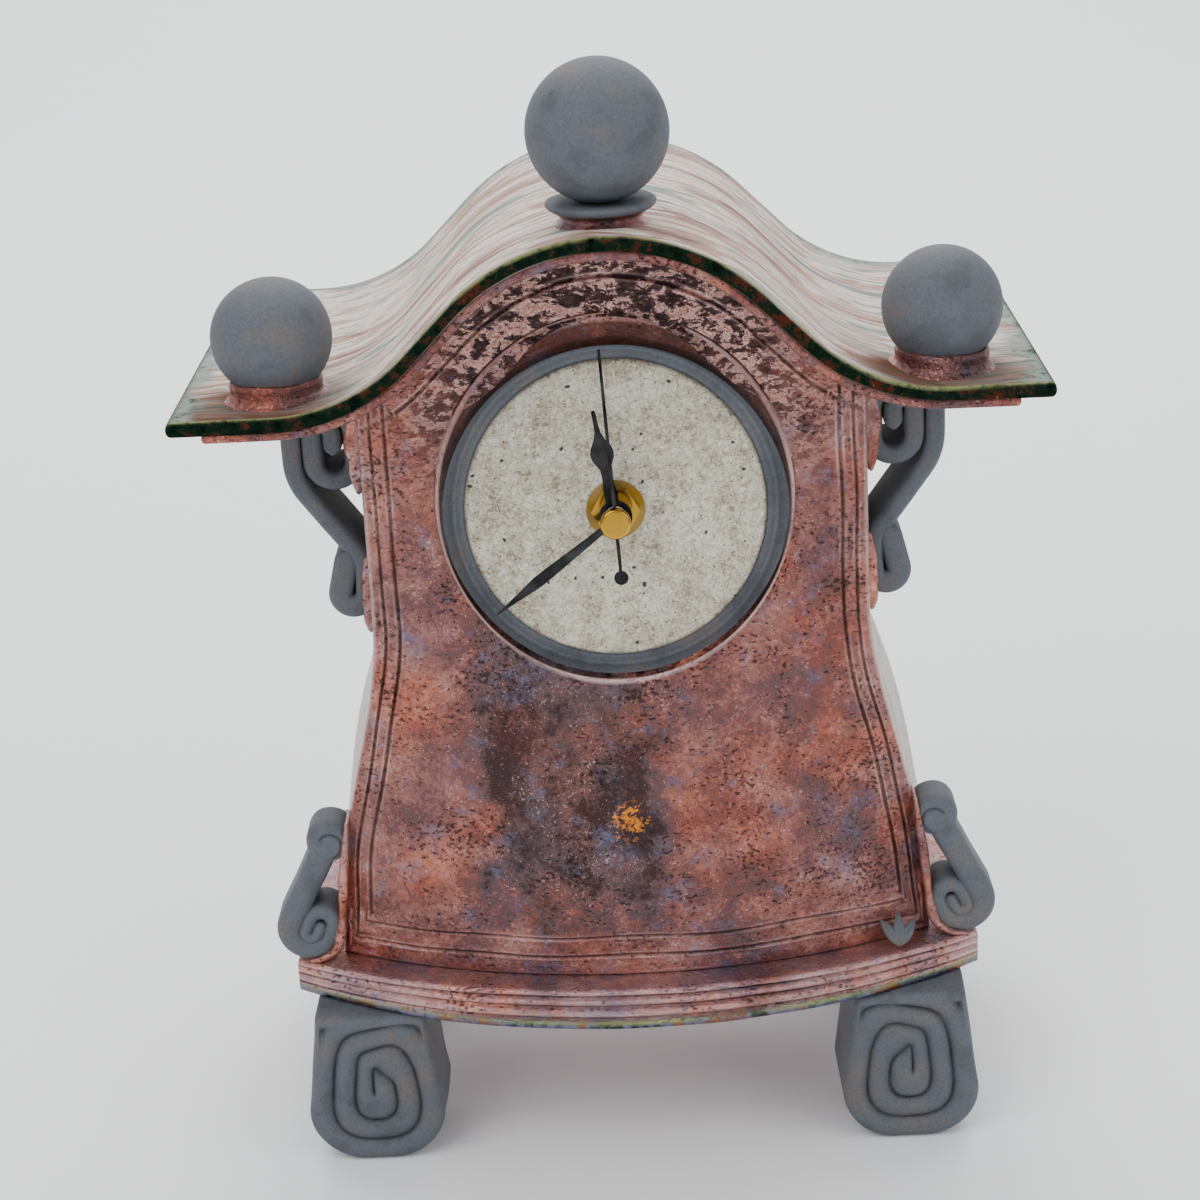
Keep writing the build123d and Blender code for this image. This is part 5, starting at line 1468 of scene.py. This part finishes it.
class CLOCK_OT_hands(Operator):
    """Makes the black hands and finishes the brass hub"""

    bl_idname = "clock.hands"
    bl_label = "Hands"

    def blade(self, stations, level, thickness, ridge):
        """A pressed hand: half widths along its length, a flat back and a front raised to a ridge."""
        along = even_steps(np.array(stations, float), 90)
        across = np.array([1.0, 0.86, 0.5, 0.0, -0.5, -0.86, -1.0, -0.86, 0.0, 0.86])
        out = np.array([0.5, 0.86, 1.0, 1.0, 1.0, 0.86, 0.5, 0.0, 0.0, 0.0]) * thickness
        raised = np.array([0, 0.15, 0.55, 1.0, 0.55, 0.15, 0, 0, 0, 0]) * ridge
        height = level + out + raised * np.clip(along[:, 1:], 0, 1.5)
        return as_points(along[:, 1:] * across, along[:, :1], height)

    def disc(self, radius, level, thickness, middle=0.0):
        """A flat round piece with softened edges."""
        soft = min(0.25, thickness / 3)
        top = level + thickness
        profile = [(0.0, level), (radius - soft, level), (radius, level + soft), (radius, top - soft),
                   (radius - soft, top), (0.0, top)]
        return turned_ring(profile, 72) + [0, middle, 0]

    def sleeve(self, outer, bore, level, thickness):
        """A boss with a hole, softened at its front edge."""
        soft = 0.3
        top = level + thickness
        profile = [(bore, level), (outer, level), (outer, top - soft), (outer - soft, top), (bore, top)]
        return turned_ring(profile, 72)

    def aimed(self, grid, clockwise, s):
        """Local points turned clockwise from twelve and set on the dial."""
        a = radians(clockwise)
        right = grid[..., 0] * cos(a) + grid[..., 1] * sin(a)
        up = grid[..., 1] * cos(a) - grid[..., 0] * sin(a)
        return on_dial(as_points(right, up, grid[..., 2]), s)

    def execute(self, context):
        s = sizes_of(context)
        colours = context.scene.clock_colours
        # Levels over the dial, angles clockwise from twelve, and along each hand (distance, half width)
        hour_level, minute_level, second_level = 8.2, 11.6, 14.0
        hour_angle, minute_angle, second_angle = 350.7, 233.3, 357.1
        boss_height, tail = 1.4, -14.4
        hour = self.blade([
            (2.85, 1.75), (6, 1.7), (10.5, 1.3), (12.4, 1.35), (13.6, 2.0), (15.0, 2.75), (16.5, 3.0),
            (18.0, 2.65), (20.0, 1.5), (22.0, 0.75), (24.0, 0.6), (27.2, 0.55), (27.6, 0.3),
        ], hour_level, 0.6, 0.0)
        minute = self.blade([
            (1.8, 0.9), (6, 0.95), (14, 1.2), (22, 1.48), (25.5, 1.5), (27.5, 1.3), (32, 0.8), (36.5, 0.42),
            (38.7, 0.16),
        ], minute_level, 0.5, 0.42)
        second = self.blade([
            (tail, 0.42), (-8, 0.45), (0.0, 0.5), (20, 0.45), (43.5, 0.36),
        ], second_level, 0.5, 0.0)
        hour_boss = self.sleeve(4.2, 2.9, hour_level, boss_height)
        minute_boss = self.sleeve(2.9, 1.85, minute_level, boss_height)
        weight, cap = self.disc(1.8, second_level, 0.6, tail), self.disc(1.45, second_level, 0.6)
        skins = {
            "hour": [shell(self.aimed(hour, hour_angle, s), caps=(0, -1)),
                     shell(on_dial(hour_boss, s), close_rows=True)],
            "minute": [shell(self.aimed(minute, minute_angle, s), caps=(0, -1)),
                       shell(on_dial(minute_boss, s), close_rows=True)],
            "second": [shell(self.aimed(second, second_angle, s), caps=(0, -1)),
                       shell(self.aimed(weight, second_angle, s)), shell(on_dial(cap, s))],
        }
        ink, brass = picked(colours, "hand", "brass")
        black = plain_finish("satin_black_paint", ink, 0.0, 0.46, 0.5, 0.02, specular=0.03)
        for name, parts in skins.items():
            hand = name + "_hand"
            make_piece(hand + "_painted", parts, black, body=name + "s", replaces=[hand])
        polished = plain_finish("polished_brass", brass, 1.0, 0.15, 0.6, 0.012, 0.1)
        dress(["hex_nut", "threaded_bush", "hand_cap", "minute_arbor", "second_arbor"], polished)
        stamped = plain_finish("stamped_brass", between(brass, BLACK, 0.35), 1.0, 0.34, 0.4, 0.02, 0.2)
        dress(["brass_washer"], stamped)
        return {"FINISHED"}


class CLOCK_OT_movement(Operator):
    """Finishes the back panel, the movement, its wheels and the battery"""

    bl_idname = "clock.movement"
    bl_label = "Movement"

    def execute(self, context):
        colours = context.scene.clock_colours
        back = pale_raku(colours, "pale_raku_back", streak=(4.0, 4.0, 30.0), crackle=6.0, depth=0.22)
        dress(["back_panel"], back)
        mouldings = ["movement_case", "movement_cover", "set_knob"]
        sheet = ["stator", "positive_contact", "negative_contact"]
        wheels = ["hour_wheel", "centre_wheel", "third_wheel", "step_wheel", "rotor", "reverser_wheel"]
        # Each finish: its nodes, name, colour, metallic, roughness, grain size and depth in millimetres, tone
        for names, finish, code, *values in (
            (mouldings, "black_moulded_plastic", "#1b1c1e", 0.0, 0.5, 0.4, 0.03),
            (wheels, "white_acetal", "#e4e2da", 0.0, 0.42, 0.7, 0.01, 0.05),
            (sheet, "plain_steel", "#b4b5b6", 1.0, 0.3, 0.5, 0.01),
            (["motor_coil"], "enamelled_copper_wire", "#a8562c", 0.9, 0.35, 0.3, 0.05, 0.25),
            (["circuit_board"], "green_laminate", "#2c5a38", 0.0, 0.4, 0.5, 0.01),
            (["rubber_washer"], "black_rubber", "#1a1a1a", 0.0, 0.8, 0.4, 0.02),
            (["battery"], "wrapped_cell", "#4b4f54", 0.3, 0.35, 0.8, 0.005, 0.08),
        ):
            dress(names, plain_finish(finish, linear(code), *values))
        return {"FINISHED"}


class CLOCK_OT_studio(Operator):
    """Makes the pale floor, the soft lights, the room and the camera"""

    bl_idname = "clock.studio"
    bl_label = "Studio"

    def soft_light(self, name, place, target, size, watts):
        """A square soft box that looks at a point."""
        lamp = bpy.data.lights.new(name, "AREA")
        lamp.shape, lamp.size, lamp.energy = "SQUARE", size, watts
        box = bpy.data.objects.new(name, lamp)
        box.location = place
        box.rotation_euler = (Vector(target) - Vector(place)).to_track_quat("-Z", "Y").to_euler()
        bpy.context.scene.collection.objects.link(box)

    def paper(self, material):
        """A sweep of paper: a level floor that bends up in a quarter circle into a wall, carried across."""
        front, bend_start, bend, half_width = -2500, 1500, 700, 3200
        turn = np.linspace(0.05, pi / 2, 24)
        floor = np.linspace(front, bend_start, 41)
        wall = np.linspace(900, 2400, 6)
        behind = np.full(len(wall), bend_start + bend)
        depth = np.concatenate([floor, bend_start + bend * np.sin(turn), behind])
        height = np.concatenate([0 * floor, bend * (1 - np.cos(turn)), wall])
        across = np.linspace(-half_width, half_width, 33)
        grid = as_points(across, depth[:, None], height[:, None])
        mesh = bpy.data.meshes.new("paper_sweep")
        mesh.from_pydata((grid.reshape(-1, 3) * MM).tolist(), [], quads(len(depth), len(across)).tolist())
        mesh.shade_smooth()
        mesh.materials.append(material)
        sweep = bpy.data.objects.new("paper_sweep", mesh)
        bpy.context.scene.collection.objects.link(sweep)

    def execute(self, context):
        scene, studio = context.scene, context.scene.clock_studio
        floor = tuple(scene.clock_colours.floor)
        self.paper(plain_finish("studio_paper", floor, 0.0, 0.8, 1.5, 0.01, 0.01))
        self.soft_light("key_light", (-0.9, -1.0, 1.5), (0, 0, 0.15), 1.3, studio.key_power)
        self.soft_light("fill_light", (1.2, -0.8, 1.1), (0, 0, 0.15), 1.2, studio.fill_power)
        self.soft_light("top_light", (0.1, 0.5, 1.9), (0, 0, 0.1), 1.4, studio.top_power)
        self.soft_light("paper_light", (0.0, 1.5, 1.7), (0, 1.3, 0), 2.2, studio.paper_power)
        scene.world = scene.world or bpy.data.worlds.new("room")
        scene.world.use_nodes = True
        room = scene.world.node_tree.nodes["Background"]
        room.inputs["Color"].default_value = linear("#f2f5fa")
        room.inputs["Strength"].default_value = studio.room
        lens = bpy.data.cameras.new("camera")
        lens.lens, lens.sensor_width, lens.sensor_fit = studio.lens, 36.0, "HORIZONTAL"
        lens.clip_start = 0.02
        camera = bpy.data.objects.new("camera", lens)
        # Where the photograph was taken from, and its right, up and forward directions
        place = (0.0060, -0.6502, 0.3841)
        right = Vector((0.99881, -0.00017, -0.04864))
        up = Vector((0.04556, 0.35337, 0.93438))
        ahead = Vector((-0.01703, 0.93548, -0.35296))
        turned = Matrix((right, up, -ahead)).transposed().to_4x4()
        camera.matrix_world = Matrix.Translation(place) @ turned
        scene.collection.objects.link(camera)
        scene.camera = camera
        return {"FINISHED"}


OPERATORS = (
    CLOCK_OT_studio, CLOCK_OT_front_panel, CLOCK_OT_side_panels, CLOCK_OT_base_slab, CLOCK_OT_roof,
    CLOCK_OT_finials, CLOCK_OT_upper_brackets, CLOCK_OT_lower_brackets, CLOCK_OT_feet, CLOCK_OT_leaf_sprig,
    CLOCK_OT_glaze_seams, CLOCK_OT_dial, CLOCK_OT_hands, CLOCK_OT_movement,
)


class CLOCK_PT_pieces(Panel):
    """Lists the clock's pieces"""

    bl_idname = "CLOCK_PT_pieces"
    bl_label = "Raku mantel clock"
    bl_space_type = "VIEW_3D"
    bl_region_type = "UI"
    bl_category = "Clock"

    def draw(self, context):
        for maker in OPERATORS:
            self.layout.operator(maker.bl_idname)


CLASSES = (ClockSizes, ClockColours, StudioSettings, *OPERATORS, CLOCK_PT_pieces)


def register():
    for each in CLASSES:
        bpy.utils.register_class(each)
    bpy.types.Scene.clock_sizes = PointerProperty(type=ClockSizes)
    bpy.types.Scene.clock_colours = PointerProperty(type=ClockColours)
    bpy.types.Scene.clock_studio = PointerProperty(type=StudioSettings)


def unregister():
    del bpy.types.Scene.clock_studio
    del bpy.types.Scene.clock_colours
    del bpy.types.Scene.clock_sizes
    for each in reversed(CLASSES):
        bpy.utils.unregister_class(each)


def main():
    register()
    for maker in OPERATORS:
        group, name = maker.bl_idname.split(".")
        getattr(getattr(bpy.ops, group), name)()


if __name__ == "__main__":
    main()
